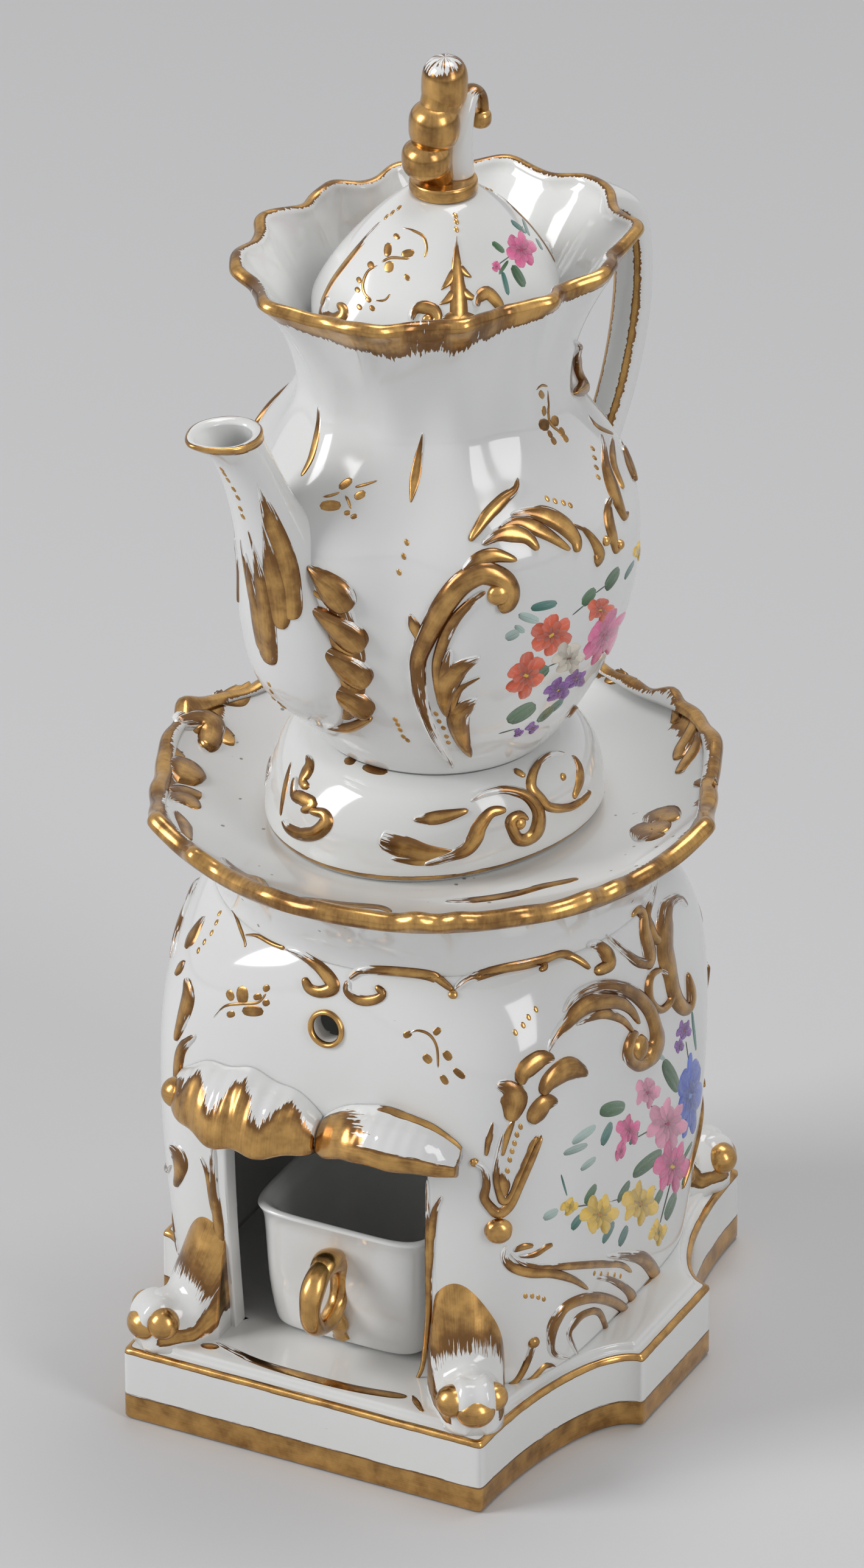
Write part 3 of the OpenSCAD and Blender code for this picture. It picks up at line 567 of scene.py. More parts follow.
def gilded_porcelain(settings, name, specks):
    """Glazed porcelain with gilding where the gilt attribute is high. Hairs along U break up the gilding's
    edges, and slow noise moves the gold between brown and bright and wears it thin. The gilt attribute also
    paints a highlight into the gold along the middle of each stroke and brown shade towards its thinner
    edges."""
    f = Finish(name)
    uv = f.node("ShaderNodeUVMap")["UV"]
    place = f.node("ShaderNodeTexCoord")["Object"]
    gilt = f.node("ShaderNodeAttribute", {"attribute_name": "gilt"})["Fac"]
    hairs = f.noise(uv, 1.0, 2.0, (0.16, 1.9, 1.0))
    blotch = f.noise(place, 260.0, 3.0)
    grain = f.noise(place, 1500.0, 2.0)
    cover = (gilt * 2.0 - 1.0 + (hairs - 0.5) * 2.6 + (blotch - 0.5) * settings.wear) * 7.0 + 0.5
    gold = cover.clamped()
    # The gilt attribute lifts the tone to bright gold in the middle of each stroke as a painted highlight,
    # and lowers it to brown at thinner edges as painted shade; the noises vary it at random.
    tone = (blotch * 0.6 + hairs * 0.2 + grain * 0.08 + gilt * 0.9 - 0.88).between(0.2, 0.62)
    metal = f.mix(tone, rgba(settings.gilt_dark_and_shade), rgba(settings.gilt_bright_and_highlight))
    cloud = f.noise(place, 45.0, 3.0)
    glaze = f.mix(cloud, rgba(settings.glaze_shade), rgba(settings.glaze))
    if specks:
        dot = f.node("ShaderNodeTexVoronoi", {"feature": "F1"},
            {"Vector": place, "Scale": 330.0})["Distance"]
        rare = f.noise(place, 120.0, 1.0).between(0.56, 0.62)
        spot = (1.0 - dot.between(0.10, 0.17)) * rare
        glaze = f.mix(spot * 0.8, glaze, (0.16, 0.13, 0.1, 1.0))
    colour = f.mix(gold, glaze, metal)
    rough = (1.0 - gold) * (0.07 + cloud * 0.06) + gold * (0.17 + blotch * 0.16)
    ripple = f.noise(place, 90.0, 2.0)
    bump = f.node("ShaderNodeBump", {}, {"Strength": 0.25, "Distance": 0.0001,
        "Height": ripple * 0.5 + gold * 0.55 + grain * gold * 0.25})[0]
    return f.done({"Base Color": colour, "Metallic": gold, "Roughness": rough, "IOR": 1.5,
        "Coat Weight": 0.35, "Coat Roughness": 0.05, "Normal": bump})


def enamel(settings, name):
    """Painted enamel: the tint attribute, thinner and paler along brush hairs, under the same glaze."""
    f = Finish(name)
    uv = f.node("ShaderNodeUVMap")["UV"]
    place = f.node("ShaderNodeTexCoord")["Object"]
    tint = f.node("ShaderNodeAttribute", {"attribute_name": "tint"})["Color"]
    thin = f.noise(uv, 1.0, 3.0, (0.35, 2.4, 1.0)).between(0.52, 0.8)
    pale = f.mix(thin * 0.22, tint, rgba(settings.glaze))
    dark = f.noise(place, 700.0, 2.0).between(0.5, 0.75)
    colour = f.mix(dark * 0.1, pale, (0.03, 0.03, 0.025, 1.0))
    return f.done({"Base Color": colour, "Roughness": 0.2 + dark * 0.15, "IOR": 1.5, "Coat Weight": 0.3})


def cork_finish(settings, name):
    """Cork: warm tan cells with dark pits."""
    f = Finish(name)
    place = f.node("ShaderNodeTexCoord")["Object"]
    cells = f.node("ShaderNodeTexVoronoi", {"feature": "F1"}, {"Vector": place, "Scale": 900.0})["Distance"]
    pits = f.noise(place, 420.0, 4.0).between(0.56, 0.66)
    tan = f.mix(cells, (0.30, 0.17, 0.075, 1.0), (0.52, 0.33, 0.17, 1.0))
    colour = f.mix(pits, tan, (0.09, 0.05, 0.025, 1.0))
    bump = f.node("ShaderNodeBump", {}, {"Strength": 0.6, "Distance": 0.0003, "Height": cells - pits})[0]
    return f.done({"Base Color": colour, "Roughness": 0.75 + pits * 0.2, "Normal": bump})


def tin_finish(settings, name):
    """Tin plate: dull grey metal with smoke stains."""
    f = Finish(name)
    place = f.node("ShaderNodeTexCoord")["Object"]
    stain = f.noise(place, 300.0, 4.0).between(0.45, 0.7)
    colour = f.mix(stain, (0.58, 0.57, 0.54, 1.0), (0.2, 0.17, 0.13, 1.0))
    return f.done({"Base Color": colour, "Metallic": 1.0 - stain * 0.4, "Roughness": 0.3 + stain * 0.35})


def wick_finish(settings, name):
    """Wick: plaited cotton, charred at its tip by height."""
    f = Finish(name)
    place = f.node("ShaderNodeTexCoord")["Object"]
    height = f.node("ShaderNodeSeparateXYZ", {}, {"Vector": place})["Z"]
    char = (height + (f.noise(place, 900.0) - 0.5) * 0.002).between(0.0265, 0.0285)
    plait = f.noise(place, 1600.0, 2.0)
    cotton = f.mix(plait, (0.62, 0.55, 0.42, 1.0), (0.8, 0.75, 0.63, 1.0))
    colour = f.mix(char, cotton, (0.012, 0.011, 0.01, 1.0))
    bump = f.node("ShaderNodeBump", {}, {"Strength": 0.7, "Distance": 0.0003, "Height": plait})[0]
    return f.done({"Base Color": colour, "Roughness": 0.85 + char * 0.1, "Normal": bump})


def floor_finish(settings, name):
    """A plain pale floor with the faintest mottling."""
    f = Finish(name)
    place = f.node("ShaderNodeTexCoord")["Object"]
    colour = f.mix(f.noise(place, 6.0, 3.0), rgba(settings.floor), rgba([c * 0.97 for c in settings.floor]))
    return f.done({"Base Color": colour, "Roughness": 0.75})


# Finishes by name. Each is made from the settings, whether it needs them or not, and its name
FINISHES = {
    "glazed_porcelain": lambda settings, name: gilded_porcelain(settings, name, False),
    "speckled_porcelain": lambda settings, name: gilded_porcelain(settings, name, True),
    "painted_enamel": enamel,
    "cork_cells": cork_finish,
    "tin_plate": tin_finish,
    "plaited_wick": wick_finish,
    "pale_floor": floor_finish,
}


def finish(context, name):
    """The named finish, made the first time it is asked for."""
    return bpy.data.materials.get(name) or FINISHES[name](context.scene.tea_warmer, name)


def sweep(rows, sides, power=2.0, n=60):
    """An oval section carried along a path in the YZ plane. Rows are y, z, half width and half thickness.
    The ends close to points."""
    p = curve(rows, np.linspace(0, 1, n))
    along = unit(np.gradient(p[:, :2], axis=0))
    a = circle(sides)
    k = (np.abs(cosd(a)) ** power + np.abs(sind(a)) ** power) ** (-1 / power)
    u = p[:, 2:3] * (k * cosd(a))
    v = p[:, 3:4] * (k * sind(a))
    body = np.stack([u, p[:, 0:1] + v * along[:, 1:2], p[:, 1:2] - v * along[:, 0:1]], -1)
    start = np.broadcast_to(body[:1].mean(1, keepdims=True), (1, sides, 3))
    stop = np.broadcast_to(body[-1:].mean(1, keepdims=True), (1, sides, 3))
    return np.concatenate([start, body, stop]).transpose(1, 0, 2)


def ball(centre, radii, n=32, power=1.0):
    """An ellipsoid as a grid of angle round and angle up. A power below 1 of the upward sine and cosine
    makes it blockier."""
    a, e = np.meshgrid(circle(n), np.linspace(-90, 90, n // 2 + 1), indexing="ij")
    out, up = np.abs(cosd(e)) ** power, np.sign(e) * np.abs(sind(e)) ** power
    shape = np.stack([cosd(a) * out, sind(a) * out, up], -1)
    return np.asarray(centre, float) + shape * np.asarray(radii, float)


def in_pot(points, lift):
    """Points of the teapot's own frame, turned with it and lifted."""
    return turned(points[..., 0], points[..., 1], points[..., 2], POT_TURN, lift)


ROUND = circle(360)


def plinth_ring(inset):
    """The plinth's plan moved in by inset: straight front, hollow quarter-ellipse coves and straight side
    bays, with the corners eased by a running mean."""
    a, b = BAY_OUT + inset, (PLINTH_D - BAY_LEN) / 2 + inset
    t = np.linspace(np.arcsin(inset / b), np.arccos(inset / a), 80)
    cove = np.stack([PLINTH_W / 2 + BAY_OUT - a * np.cos(t), -PLINTH_D / 2 + b * np.sin(t)], -1)
    edge = np.linspace((0.0, cove[0, 1]), cove[0], 60)
    bay = np.linspace(cove[-1], (cove[-1, 0], 0.0), 24)
    quarter = np.concatenate([edge[:-1], cove[:-1], bay])
    right = np.concatenate([quarter, (quarter * (1, -1))[::-1][1:]])
    ring = np.concatenate([right, (right * (-1, 1))[::-1][1:-1]])
    shifts = [np.roll(ring, k, axis=0) * w for k, w in ((-2, 1), (-1, 2), (0, 3), (1, 2), (2, 1))]
    return sum(shifts) / 9


def plinth_rows():
    """Rows of the plinth from the middle of its hollow underside, over the foot and the face, to the deck:
    share of the plan's size, inset, height, gilding."""
    wall = PLINTH_WALL
    top = PLINTH_H
    return [(0.0, wall, top - wall, 0), (0.5, wall, top - wall, 0), (1, wall, top - wall, 0),
        (1, wall, 5.0, 0), (1, wall, 0.4, 0), (1, wall - 0.4, 0.0, 0), (1, 0.7, 0.0, 0), (1, 0.2, 0.15, 1),
        (1, 0.0, 0.6, 1), (1, 0.0, 2.0, 1), (1, 0.0, 3.8, 1), (1, 0.0, 5.3, 1), (1, 0.0, 6.1, 0),
        (1, 0.0, 8.0, 0), (1, 0.0, 11.0, 0), (1, 0.0, 13.6, 0), (1, 0.0, 14.6, 0), (1, 0.0, 15.1, 1),
        (1, 0.12, 15.6, 1), (1, 0.45, 15.9, 1), (1, 0.9, top, 1), (1, 1.35, top, 0), (1, 2.0, top, 0),
        (1, 2.35, 16.15, 0), (1, STEP_IN, 16.5, 0), (1, STEP_IN, 16.9, 0), (1, STEP_IN + 0.15, 17.3, 0),
        (1, STEP_IN + 0.6, STEP_Z, 0), (1, 5.0, STEP_Z, 0), (0.75, 5.0, STEP_Z, 0), (0.5, 5.0, STEP_Z, 0),
        (0.25, 5.0, STEP_Z, 0), (0.0, 5.0, STEP_Z, 0)]


class TEAWARMER_OT_plinth(bpy.types.Operator):
    """Makes the plinth: its eased plan carried up a moulded profile, with a gilt foot band and arris"""

    bl_idname = "tea_warmer.plinth"
    bl_label = "Plinth"

    def execute(self, context):
        rows = plinth_rows()
        rings = [np.column_stack([plinth_ring(inset) * share, np.full(len(plinth_ring(0.1)), z)])
            for share, inset, z, _ in rows]
        sheet = Sheet()
        sheet.add(np.stack(rings, 1), ring=True, gilt=np.array([row[3] for row in rows])[None, :])
        sheet.build(context, "plinth", "stand", ["stand_plinth"])
        return {"FINISHED"}


def rounded_slot():
    """The lamp opening's outline in x and z, up the left jamb, over the top and down the right, with the
    direction that points away from the opening."""
    top = DOOR_TOP - DOOR_R
    up = np.linspace(0, 1, 90)[:, None]
    jamb = (-DOOR_HALF, STEP_Z) + up * (0.0, top - STEP_Z)
    arc = np.linspace(180, 90, 14)[1:-1]
    corner = np.stack([-DOOR_HALF + DOOR_R + DOOR_R * cosd(arc), top + DOOR_R * sind(arc)], -1)
    lintel = (-DOOR_HALF + DOOR_R, DOOR_TOP) + np.linspace(0, 1, 40)[:, None] * (DOOR_HALF - DOOR_R, 0.0)
    left = np.concatenate([jamb, corner, lintel])
    away = np.concatenate([np.tile((-1.0, 0.0), (len(jamb), 1)), np.stack([cosd(arc), sind(arc)], -1),
        np.tile((0.0, 1.0), (len(lintel), 1))])
    line = np.concatenate([left, (left * (-1, 1))[::-1][1:]])
    return line, np.concatenate([away, (away * (-1, 1))[::-1][1:]])


def reveal_rows():
    """The rounded edge of an opening through the stand's wall: distance from the outline and depth."""
    return [(1.4, 0.02), (0.8, 0.02), (0.45, -0.02), (0.2, -0.12), (0.05, -0.3), (0.0, -0.6), (0.0, -2.0),
        (0.0, -3.4), (0.05, -3.7), (0.2, -3.88), (0.45, -3.98), (0.8, -4.02), (1.4, -4.02)]


class TEAWARMER_OT_stand(bpy.types.Operator):
    """Makes the stand: the bombe wall inside and out, with the rounded edges of its opening and vents"""

    bl_idname = "tea_warmer.stand"
    bl_label = "Stand"

    def execute(self, context):
        a = circle(480)
        outside = np.linspace(STEP_Z, BODY_TOP, 126)
        inside = np.linspace(BODY_TOP, STEP_Z, 76)
        heights = np.concatenate([outside, inside])
        grow = np.concatenate([0 * outside, 0 * inside - BODY_WALL])
        points = stand_wall(a[:, None], heights[None, :], grow[None, :])
        cells = (points + np.roll(points, -1, 0)) / 2
        cells = (cells + np.roll(cells, -1, 1)) / 2
        x, y, z = cells[..., 0], cells[..., 1], cells[..., 2]
        over = np.maximum(z - (DOOR_TOP - DOOR_R), 0.0)
        past = np.maximum(np.abs(x) - (DOOR_HALF - DOOR_R), 0.0)
        door = (y < 0) & (np.hypot(over, past) < DOOR_R + 0.5) & (z < DOOR_TOP + 0.5)
        vent = np.hypot(x, z - VENT_Z) < VENT_R + 0.5
        sheet = Sheet()
        sheet.add(points, ring=True, hoop=True, keep=~(door | vent))
        rows = np.array(reveal_rows())
        line, away = rounded_slot()
        edge = line[:, None, :] + away[:, None, :] * rows[None, :, :1]
        sheet.add(stand_front(edge[..., 0], edge[..., 1], rows[None, :, 1]), flip=True)
        turn = circle(48)
        reach = VENT_R + rows[None, :, 0]
        hole = stand_front(reach * cosd(turn)[:, None], VENT_Z + reach * sind(turn)[:, None],
            rows[None, :, 1])
        sheet.add(hole, ring=True)
        sheet.add(hole * (1, -1, 1), ring=True, flip=True)
        sheet.build(context, "stand", "stand", ["stand_body"])
        return {"FINISHED"}


LEAF_Z = STEP_Z + 52.0
LEAF_LIP = 2.4
LEAVES = {"left": (-1, 33.0, 12.5, 10.4), "right": (1, 29.0, 12.0, 9.5)}


def hood_leaf(side, width, height, reach):
    """A hood leaf: sections over x, each a quarter dome outside, a rounded lip and a hollow underneath. The
    swell along the leaf is a power of a half sine, and waves scallop its lip."""
    s = np.linspace(0.02, 0.985, 90)[:, None]
    x = side * (0.15 + width * (s - 0.02) / 0.965)
    swell = sind(180 * s) ** 0.55
    lobes = np.cos(2 * np.pi * 3.2 * s) * (0.25 if side > 0 else 1.0)
    out = reach * (0.29 + 0.71 * swell) * (1 + 0.035 * lobes)
    rise = height * (0.24 + 0.76 * swell)
    lift = 4.2 * swell * ramp(0.0, 0.3, s) if side > 0 else 0.0 * s
    tip = LEAF_Z - 0.16 * reach * swell - 0.5 * lobes * swell + lift
    rise = rise - lift
    f = np.linspace(0, 90, 28)[None, :]
    top_y = stand_front(x, tip + rise, 0.1)[..., 1]
    low_y = stand_front(x, tip + 0.35 * rise, 0.1)[..., 1]
    groove = (0.07 if side > 0 else 0.16) * np.cos(2 * np.pi * 11 * s) * sind(2 * f) * swell
    outer_y = top_y - (out + groove) * sind(f)
    outer_z = tip + (rise + groove) * cosd(f)
    g = np.linspace(0, 90, 16)[None, :]
    inner_y = low_y - np.maximum(out - LEAF_LIP, 0.6) * cosd(g)
    inner_z = tip - LEAF_LIP / 2 + (rise * 0.35 + LEAF_LIP / 2) * sind(g)
    h = np.linspace(15, 165, 7)[None, :]
    outer_lip, inner_lip = outer_y[:, -1:], inner_y[:, :1]
    lip_y = (outer_lip + inner_lip) / 2 - 0.5 * np.abs(outer_lip - inner_lip) * cosd(h)
    lip_z = outer_z[:, -1:] + (inner_z[:, :1] - outer_z[:, -1:]) * (1 - cosd(h)) / 2 - 0.9 * sind(h)
    around = f.size + h.size + g.size
    loop = np.stack([np.broadcast_to(x, (len(s), around)), np.concatenate([outer_y, lip_y, inner_y], 1),
        np.concatenate([outer_z, lip_z, inner_z], 1)], -1)
    if side > 0:
        blade = ramp(0.68, 0.3, s + 0.0025 * (90 - f)) * ramp(4, 26, f)
        line = ramp(9, 5, np.abs(f - 8)) * ramp(0.35, 0.5, s)
        face = np.maximum(np.maximum(blade, ramp(62, 74, f)), line)
    else:
        edge = 46 + 16 * lobes
        face = np.maximum(ramp(edge - 26, edge + 14, f), ramp(0.8, 0.95, s) * ramp(20, 40, f))
    gold = np.concatenate([face, np.ones((len(s), h.size)), ramp(40, 0, g) + 0 * s], 1)
    ends = [np.broadcast_to(row.mean(0), (1, around, 3)) for row in (loop[0], loop[-1])]
    return np.concatenate([ends[0], loop, ends[1]]), np.concatenate([gold[:1], gold, gold[-1:]])


class TEAWARMER_OT_hood(bpy.types.Operator):
    """Makes the two hood leaves that meet over the lamp opening, gilt along their lips"""

    bl_idname = "tea_warmer.hood"
    bl_label = "Hood leaves"

    def execute(self, context):
        for name, (side, width, height, reach) in LEAVES.items():
            points, gold = hood_leaf(side, width, height, reach)
            sheet = Sheet()
            sheet.add(points, hoop=True, gilt=gold, flip=side > 0, across=side < 0)
            if side < 0:
                knob = ball((-width + 0.6, stand_front(-width + 0.6, LEAF_Z + 1.0)[1] - 2.6, LEAF_Z + 1.0),
                    (3.3, 3.1, 3.2))
                sheet.add(knob, ring=True, gilt=1.0)
            sheet.build(context, "hood_leaf_" + name, "stand", ["hood_%s_leaf" % name])
        return {"FINISHED"}


TOE_X = PLINTH_W / 2 - STEP_IN + 0.5
TOE_Y = PLINTH_D / 2 - STEP_IN + 0.5
TOE_R = 4.6
TOE_BALL = 3.3
FOOT_TURN = 55.0
FOOT_LEN = TOE_R + 17.0
KNEE_W = 8.0
INSTEP_W = 7.0
KNEE_H = 33.0
FEET = {"front_left": (-1, -1), "front_right": (1, -1), "back_left": (-1, 1), "back_right": (1, 1)}
# Rows of a foot: distance from the toe, half width, height
FOOT_ROWS = ((-FOOT_LEN * 0.97, KNEE_W, KNEE_H * 0.94), (-FOOT_LEN * 0.77, KNEE_W, KNEE_H * 0.86),
    (-FOOT_LEN * 0.55, INSTEP_W + 0.4, KNEE_H * 0.5), (-TOE_R * 2, INSTEP_W, TOE_R * 2 + 0.6),
    (-TOE_R, INSTEP_W - 1.0, TOE_R * 2), (-TOE_R * 0.4, INSTEP_W * 0.62, TOE_R * 1.4),
    (-0.6, INSTEP_W * 0.3, TOE_R * 0.5))


def at_corner(points, side, end):
    """Moves a foot's points from its own frame, toe forward, to its corner of the plinth."""
    turn = end * FOOT_TURN
    c, s = cosd(turn), sind(turn)
    x = points[..., 0] * c - points[..., 1] * s
    y = points[..., 0] * s + points[..., 1] * c
    inner = DOOR_HALF + 1.0 if end < 0 else 0.0
    return np.stack([side * np.maximum(TOE_X + x, inner), end * TOE_Y + y, STEP_Z + points[..., 2]], -1)


def foot_skin(a, t):
    """A corner foot in its own frame: arches over the angle a along its rows, from knee (t = 0) to toe."""
    row = curve(FOOT_ROWS, t)
    arch = np.maximum(sind(a), 0.0) ** 0.7
    ridge = 1 + 0.05 * np.cos(np.radians(4 * (a - 90))) * (1 - t)
    return np.stack([row[..., 0] + 0 * a, row[..., 1] * cosd(a),
        row[..., 2] * arch * ridge - 1.6 * (1 - arch)], -1)


class TEAWARMER_OT_feet(bpy.types.Operator):
    """Makes the four corner feet: a gilt-topped knee that runs down to a rolled toe with three gilt balls"""

    bl_idname = "tea_warmer.feet"
    bl_label = "Corner feet"

    def execute(self, context):
        a = np.linspace(0, 180, 49)
        t = np.linspace(0, 1, 60)
        for name, (side, end) in FEET.items():
            flip = side < 0
            skin = foot_skin(a[:, None], t[None, :])
            ends = [np.broadcast_to(skin[:, k].mean(0), (len(a), 1, 3)) for k in (0, -1)]
            skin = np.concatenate([ends[0], skin, ends[1]], 1)
            low = 90 - np.abs(a[:, None] - 90)
            crown = ramp(0.56, 0.3, t[None, :] + 0.0012 * (90 - low)) * ramp(10, 30, low)
            rims = 0.95 * ramp(3, 7, low) * ramp(27, 15, low) * ramp(0.86, 0.74, t[None, :])
            gold = np.maximum(crown, rims)
            gold = np.concatenate([gold[:, :1], gold, gold[:, -1:]], 1)
            sheet = Sheet()
            sheet.add(at_corner(skin, side, end), ring=True, gilt=gold, flip=not flip, across=True)
            for centre, radii in (((-TOE_R * 0.85, -INSTEP_W * 0.6, TOE_R + 0.2), (TOE_BALL,) * 3),
                    ((-TOE_R * 0.95, INSTEP_W * 0.55, TOE_R + 0.2), (TOE_BALL * 0.9,) * 3),
                    ((-TOE_BALL * 0.6, 0.0, TOE_BALL), (TOE_BALL * 1.05, TOE_BALL * 1.2, TOE_BALL))):
                sheet.add(at_corner(ball(centre, radii), side, end), ring=True, gilt=1.0, flip=flip)
            wide = INSTEP_W * 0.62
            tip = 0.6 * TOE_R
            rows = [(-wide, 0, tip, tip), (-wide * 0.6, 0, TOE_R, TOE_R), (0, 0, TOE_R, TOE_R),
                (wide * 0.6, 0, TOE_R, TOE_R), (wide, 0, tip, tip)]
            roll = sweep(rows, 28) + (-TOE_R, 0.0, TOE_R)
            sheet.add(at_corner(roll, side, end), ring=True, flip=flip)
            sheet.build(context, "foot_" + name, "stand", [name + "_foot"])
        return {"FINISHED"}


UNDER_ROWS = 36


def dish_rings():
    """Radius, height, share of the scallops and gilding of the dish, from the neck up the underside, round
    the rolled rim, down the inside, across the floor, through the heat hole and back under."""
    neck = NECK_D / 2
    up = np.linspace(0, 0.93, UNDER_ROWS)
    under = np.stack([neck + (DISH_R - neck) * up**2, (DISH_RISE + DISH_DEPTH - 0.6) * up**1.1, up**4,
        0 * up], -1)
    turn = np.linspace(-70, 165, 24)
    roll = 1.9
    rim = np.stack([DISH_R - roll + 0.35 + roll * cosd(turn),
        DISH_RISE + DISH_DEPTH - roll + roll * sind(turn), 1 + 0 * turn,
        ramp(-50, -10, turn) * ramp(165, 120, turn)], -1)
    down = np.linspace(0.085, 1, 40)
    inside = np.stack([DISH_R - (DISH_R - DISH_FLAT) * down, DISH_RISE + DISH_DEPTH * (1 - down) ** 1.8,
        (1 - down) ** 3, 0 * down], -1)
    floor = np.array([(r, DISH_RISE, 0, 0) for r in (34, 30, 26, 22, 20, HEAT_R + 0.9)])
    hole = np.array([(HEAT_R + 0.4, DISH_RISE - 0.08, 0, 0), (HEAT_R + 0.08, DISH_RISE - 0.4, 0, 0),
        (HEAT_R, DISH_RISE - 0.9, 0, 0), (HEAT_R, DISH_RISE - DISH_WALL, 0, 0),
        (26, DISH_RISE - DISH_WALL, 0, 0), (neck - BODY_WALL - 4, DISH_RISE - DISH_WALL, 0, 0),
        (neck - BODY_WALL, DISH_RISE - DISH_WALL - 4, 0, 0), (neck - BODY_WALL, 0, 0, 0)])
    return np.concatenate([under, rim, inside, floor, hole])


# Knobs of the dish's rim: their angles and heights. The last four aren't seen and are guessed
RIM_KNOBS = ((226, 1.0), (240, 1.1), (293, 0.9), (301, 1.1), (329, 1.1), (336, 0.9), (3, 1.0), (60, 1.0),
    (117, 1.1), (125, 0.9), (177, 1.0))


class TEAWARMER_OT_dish(bpy.types.Operator):
    """Makes the dish: rings with eight scallops, a rolled gilt rim and the heat hole in its floor"""

    bl_idname = "tea_warmer.dish"
    bl_label = "Dish"

    def execute(self, context):
        rings = dish_rings()
        a = ROUND[:, None]
        wave = cosd(SCALLOPS * (a - 90))
        fine = 0.4 * sind(21 * a + 40) + 0.35 * sind(13 * a + 10) + 0.25 * sind(34 * a + 200)
        knobs = sum(high * np.exp(-(((a - at + 180) % 360 - 180) / 3.0) ** 2) for at, high in RIM_KNOBS)
        fine = fine + 2.4 * knobs
        reach = rings[:, 0] * (1 + SCALLOP / DISH_R * rings[:, 2] * wave) + 0.5 * fine * rings[:, 3]
        lift = (0.7 * SCALLOP * wave + back_rise(a)) * rings[:, 2]
        z = BODY_TOP + rings[:, 1] + lift + 0.5 * fine * rings[:, 3]
        points = np.stack([reach * cosd(a), reach * sind(a), z], -1)
        patch = sind(9 * a + 25) + 0.8 * sind(14 * a + 160) + 0.5 * sind(23 * a)
        run = 1.5 + 4.5 * ramp(-0.2, 1.4, patch)
        inner = ramp(DISH_R - 1.0 - run, DISH_R - 1.6 - 0.3 * run, rings[:, 0])
        inner = inner * (rings[:, 1] > DISH_RISE + 0.4) * (np.arange(len(rings)) >= UNDER_ROWS) * 0.85
        gold = np.maximum(rings[:, 3] * (0.4 + 0.6 * ramp(-1.2, 0.3, patch + knobs)), inner)
        sheet = Sheet()
        sheet.add(points, ring=True, hoop=True, gilt=gold, across=True)
        sheet.build(context, "dish", "stand", ["stand_dish"], "speckled_porcelain")
        return {"FINISHED"}


class TEAWARMER_OT_teapot(bpy.types.Operator):
    """Makes the teapot's lobed body with its gilt fluted rim, and the oval foot under it"""

    bl_idname = "tea_warmer.teapot"
    bl_label = "Teapot"

    def execute(self, context):
        a = ROUND[:, None]
        outside = np.linspace(FOOT_H, POT_H, 120)
        turn = np.linspace(0, 180, 11)[1:-1]
        inside = np.concatenate([np.linspace(POT_H, NECK_Z, 24),
            np.linspace(NECK_Z, FOOT_H + POT_WALL, 40)[1:]])
        heights = np.concatenate([outside, np.full(len(turn), POT_H), inside])
        eased = POT_LIP + (POT_WALL - POT_LIP) * (POT_H - inside) / (POT_H - NECK_Z)
        thin = np.where(inside > NECK_Z, eased, POT_WALL)
        bead = 0.2 * sind(19 * a + 30) + 0.22 * sind(13 * a + 110) + 0.16 * sind(31 * a)
        grow = np.concatenate([0 * outside, -POT_LIP / 2 * (1 - cosd(turn)), -thin])
        lift = np.concatenate([0 * outside, POT_LIP * 0.55 * sind(turn), 0 * inside])
        near = np.concatenate([ramp(POT_H - 2.4, POT_H - 0.4, outside), np.ones(len(turn)),
            ramp(POT_H - 2.0, POT_H - 0.4, inside)])
        points = pot_wall(a, heights[None, :], grow[None, :] + bead * near[None, :])
        points[..., 2] += lift[None, :]
        front = np.exp(-(((a - 312) / 34) ** 2)) + 0.5 * np.exp(-(((a - 120) / 30) ** 2))
        hang = 1.7 + 2.6 * front + 0.9 * bead
        soft = 0.7 + 4.2 * front
        worn = 0.76 + 0.24 * ramp(-0.35, 0.1, bead + 0.2 * sind(5 * a + 70))
        gold = np.concatenate([ramp(POT_H - hang - soft, POT_H - hang, outside[None, :]) * worn,
            worn * ramp(150, 105, turn[None, :]), np.zeros((len(a), len(inside)))], 1)
        floor = [points[:, -1:] * (k, k, 1) for k in (0.7, 0.35, 0.0)]
        base = [points[:, :1] * (k, k, 1) for k in (0.0, 0.5)]
        whole = np.concatenate(base + [points] + floor, 1)
        sheet = Sheet()
        sheet.add(whole, ring=True, across=True,
            gilt=np.concatenate([np.zeros((len(a), len(base))), gold, np.zeros((len(a), len(floor)))], 1))
        sheet.build(context, "teapot", "teapot", ["pot_body", "pot_collar"])
        t = np.linspace(0, 1, 60)
        skirt = pot_foot(a, t[None, :])
        level = skirt[:1, :, 2] - POT_Z
        under = [(WAIST_R - 3.2, FOOT_H * 0.7), (FOOT_R - 6.4, FOOT_EDGE), (FOOT_R - 6.0, 0.3),
            (FOOT_R - 5.0, 0.0)]
        inner = [turned(r * cosd(a), r * sind(a), z + 0 * a, POT_TURN, POT_Z) for r, z in under]
        line = ramp(0.5, 0.9, level) * ramp(2.3, 1.9, level)
        sheet = Sheet()
        sheet.add(np.concatenate([skirt] + inner, 1), ring=True, hoop=True,
            gilt=np.concatenate([line, np.zeros((1, len(inner)))], 1))
        sheet.build(context, "teapot_foot", "teapot", ["pot_foot"])
        return {"FINISHED"}


def outside_pot(points, sunk):
    """Pushes points deeper than sunk inside the teapot's wall out to that depth, along the radius."""
    flat = turned(points[..., 0], points[..., 1], points[..., 2], -POT_TURN, -POT_Z)
    reach = np.hypot(flat[..., 0], flat[..., 1])
    a = np.degrees(np.arctan2(flat[..., 1], flat[..., 0]))
    wall = pot_wall(a, flat[..., 2], -sunk)
    least = np.hypot(wall[..., 0], wall[..., 1])
    k = np.maximum(reach, least) / np.maximum(reach, 1e-6)
    return points * np.stack([k, k, np.ones_like(k)], -1)


